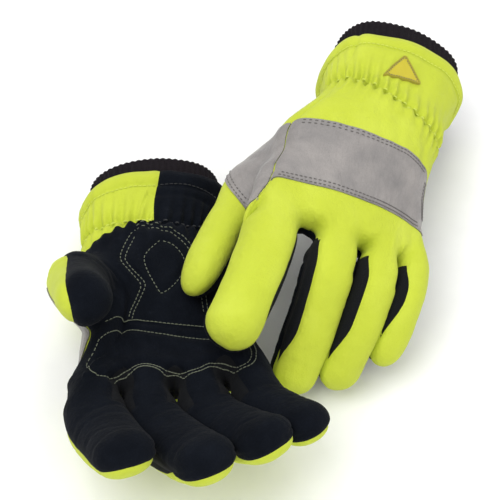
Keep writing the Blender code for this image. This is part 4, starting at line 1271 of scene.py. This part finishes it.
def build(side):
    P, v, f, n, cloth = glove(side)
    hand = f"{side}_hand"
    yel, blk, knit, lining = cuffs(side, P)
    # reflective band, cut from the same surface
    v2, f2 = v, f
    for fn in (lambda m: np.clip(tape_main(m, P), -9, 9), lambda m: np.clip(tape_side(m, P), -9, 9)):
        v2, f2 = cut_by(v2, f2, fn)
    v2 = settle(v2, P)
    n2 = unit(gradient(form, v2, P))
    c = v2[f2].mean(1)
    band = finish_patch(f"{side}_band_main", v2, f2, n2, P, "reflective_grey", 0.62, tape_main(c, P) > 0)
    band2 = finish_patch(f"{side}_band_side", v2, f2, n2, P, "reflective_grey", 0.62, tape_side(c, P) > 0)
    riders = [yel, blk, knit, lining, band, band2] + [o for (b, _), o in cloth.items() if b == "hand"]
    # ---- stitches
    y0, y1 = P["band"]
    a = np.linspace(139, 40, 90)
    for off, nm in ((1.3, "a"), (3.4, "b")):
        for edge, sgn, k in ((y0, 1, "top"), (y1, -1, "low")):
            base = tube(HAND, a, edge + sgn * off + (1.5 * sstep((-10 - 0) / 25.0) if k == "top" else 0))
            base[:, 1] = edge + sgn * off + (1.5 * sstep((base[:, 0] + 10) / -25.0) if k == "top" else 0)
            base[:, 0] *= spread(base[:, 1])
            base = settle(base, P)
            base = base[side_seam(base) < -2.0]
            riders.append(sew_on(f"{side}_band_stitch_{k}_{nm}", base, P, "thread_grey", lift=0.62))
        yy = np.linspace(y0 + 9, y1 - 9, 60)
        aa = 150 - np.degrees((off + 0.2 - 0.30 * (yy - 66) * (yy > 66)) / 33.0)
        end = settle(tube(HAND, aa, yy) * np.stack([spread(yy), 1 + 0 * yy, 1 + 0 * yy], -1), P)
        riders.append(sew_on(f"{side}_band_stitch_end_{nm}", end, P, "thread_grey", lift=0.62))
        # lower edge of the thumb-side piece
        qx = np.linspace(16, -20, 70)
        ql = np.stack([qx, P["tape_low"] + 0.76 * (6.4 - qx) - off * 1.256, 13.0 - 0.02 * qx * qx], -1)
        low = settle(settle(np.array(P["m_root"], float) + ql @ axes_of(*P["m_thumb"]), P), P)
        low = low[(tape_side(low, P) > 1.15) & (abs(form(low, P)) < 0.3) & (thumb_local(low, P)[:, 0] < P["stitch_to"])]
        riders.append(sew_on(f"{side}_band_stitch_side_{nm}", low, P, "thread_grey", lift=0.62))
    if True:
        for nm, line in (("heel_out", HEEL_OUT), ("heel_in", HEEL_IN), ("heel_top", HEEL_TOP), ("diamond", DIAMOND), ("heel_end", beside(HEEL_END, 1.4)),
                         ("pad_top", PAD_TOP), ("pad_end", PAD_END), ("pad_low_a", PAD_LOW), ("pad_low_b", beside(PAD_LOW, -2.3)),
                         ("heel_top_b", beside(HEEL_TOP, 2.3))):
            riders.append(sew_on(f"{side}_{nm}_stitches", flat_line(line, True, P), P, "thread_olive", radius=0.27, length=2.0, pitch=2.6, lift=0.0))
    # hem topstitch all round, in the colour of what it sews
    N = 400
    ang = -180 + 360.0 * np.arange(N + 1) / N
    hem = tube(HAND, ang, np.full(N + 1, P["hem"] + 8.4))
    for k, (a0, a1), th in (("back", (-94, 179.5), "thread_yellow"), ("palm", (-163.0, -95.5), "thread_black")):
        on = (ang > a0) & (ang < a1)
        riders.append(sew_on(f"{side}_hem_stitches_{k}", hem[on], P, th, radius=0.26, pitch=2.6, length=2.1, lift=0.1, tube_rows=True))
        ys = np.zeros(N + 1)
        for _ in range(4):
            ys = wrist_line(tube(HAND, ang, ys), P)
        g = tube(HAND, ang, ys)
        riders.append(sew_on(f"{side}_wrist_stitches_{k}", g[on], P, th, radius=0.45, pitch=3.4, length=2.4, lift=0.7, tube_rows=True))
    riders += cuff_patch(side, P)
    riders = [o for o in riders if o is not None]
    for o in riders:
        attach(o, hand)
    # ---- digits: root points and the rim shared with the hand are found, and each piece's transform is baked
    for nm in ("thumb",) + FINGERS:
        parts = [o for (b, _), o in cloth.items() if b == nm]
        if nm == "thumb":
            A = axes_of(*P["m_thumb"])
            o0 = np.array(P["m_root"], float)
            pts = np.array([o0 + A[1] * 10.0, o0 + A[1] * 30.0])
        else:
            bx, by = m_base(nm)
            pts = np.array([[bx, by + 4, 0.0], [bx, by + 20, 0.0]])
        p = to_world(pts, P)
        # the vertices where the digit leaves the hand
        co = np.concatenate([rim_points(o, (hand_objs(cloth))) for o in parts])
        for o in parts:
            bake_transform(o)
    return P, cloth, (yel, blk, knit, lining, band, band2)


def hand_objs(cloth):
    return [o for (b, _), o in cloth.items() if b == "hand"]


def coords(o):
    c = np.zeros(len(o.data.vertices) * 3, np.float32)
    o.data.vertices.foreach_get("co", c)
    return c.reshape(-1, 3).astype(float)


def rim_points(o, others):
    """Vertices of o that lie on one of the others."""
    a = coords(o)
    key = {tuple(k) for q in others for k in np.round(coords(q) * 1e6).astype(int).tolist()}
    hit = [i for i, k in enumerate(np.round(a * 1e6).astype(int).tolist()) if tuple(k) in key]
    return a[hit]


def sew_on(name, line, P, thread, tube_rows=False, **k):
    if len(line) < 3:
        return None
    if tube_rows:
        pitch, length, radius, lift = k.get("pitch", 3.1), k.get("length", 2.35), k.get("radius", 0.42), k.get("lift", 0.1)
        m, _ = resample(line, pitch)
        n = tube_normals(HAND, m)
        d = m + n * (relief(m, P) + lift)[:, None]
        w = to_world(d, P)
        wn = unit(to_world(d + 0.5 * n, P) - w)
        t = unit(np.gradient(w, axis=0))
        wn = unit(wn - t * (wn * t).sum(1)[:, None])
        ob = stitches(name, w, wn, t, length * 1e-3, radius * 1e-3, MAT[thread])
        at = ob.data.attributes.new("pattern", "FLOAT_VECTOR", "POINT")
        at.data.foreach_set("vector", (coords(ob) * 1000).astype(np.float32).ravel())
        return ob
    return sew(name, line, P, thread, **k)


for _side in ("right", "left"):
    P, cloth, extra = build(_side)
    S = _side
    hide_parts(f"{S}_hand_back")
    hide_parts(f"{S}_hand_palm", f"{S}_knuckle_pad", f"{S}_heel_pad")
    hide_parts(f"{S}_hand_liner", f"{S}_wrist_elastic")
    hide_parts(f"{S}_knit_cuff")
    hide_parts(f"{S}_cuff_back")
    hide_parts(f"{S}_cuff_palm")
    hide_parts(f"{S}_reflective_band")
    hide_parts(f"{S}_reflective_band_side")
    for nm in ("thumb",) + FINGERS:
        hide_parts(f"{S}_{nm}_back", f"{S}_{nm}_liner")
        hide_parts(f"{S}_{nm}_front")
        if (nm, "strip") in cloth:
            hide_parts(f"{S}_{nm}_fourchette")

# ------------------------------------------------------------------ studio
bpy.ops.mesh.primitive_plane_add(size=6, location=(0, 0, 0))
floor = bpy.context.active_object
floor.name = "studio floor"
floor.data.materials.append(make_floor())

world = bpy.data.worlds.new("studio")
bpy.context.scene.world = world
world.use_nodes = True
bg = next(n for n in world.node_tree.nodes if n.type == "BACKGROUND")
bg.inputs[0].default_value = (1.0, 1.0, 1.0, 1.0)
bg.inputs[1].default_value = 0.64


def softbox(name, where, target, size, watts):
    d = bpy.data.lights.new(name, "AREA")
    d.energy = watts
    d.size = size
    o = bpy.data.objects.new(name, d)
    bpy.context.scene.collection.objects.link(o)
    o.location = where
    v = mathutils.Vector(target) - mathutils.Vector(where)
    o.rotation_euler = v.to_track_quat("-Z", "Y").to_euler()
    return o


softbox("key", (-0.55, -0.35, 1.35), (0, 0, 0.03), 1.0, 10.5)
softbox("fill", (1.0, -0.9, 0.9), (0, 0, 0.03), 1.4, 7.5)
softbox("top", (0.1, 0.7, 1.3), (0, 0, 0.03), 1.4, 7.5)

cam_data = bpy.data.cameras.new("camera")
cam = bpy.data.objects.new("camera", cam_data)
bpy.context.scene.collection.objects.link(cam)
bpy.context.scene.camera = cam
cam_data.sensor_width = 36.0
cam_data.lens = 118.08
_t = mathutils.Vector((-0.00605, 0.0136, 0.035))
_e = math.radians(52.0)
cam.location = _t + 0.9 * mathutils.Vector((0, -math.cos(_e), math.sin(_e)))
cam.rotation_euler = (_t - cam.location).to_track_quat("-Z", "Y").to_euler()
cam_data.clip_start, cam_data.clip_end = 0.02, 20.0
bpy.context.scene.view_settings.view_transform = "Standard"
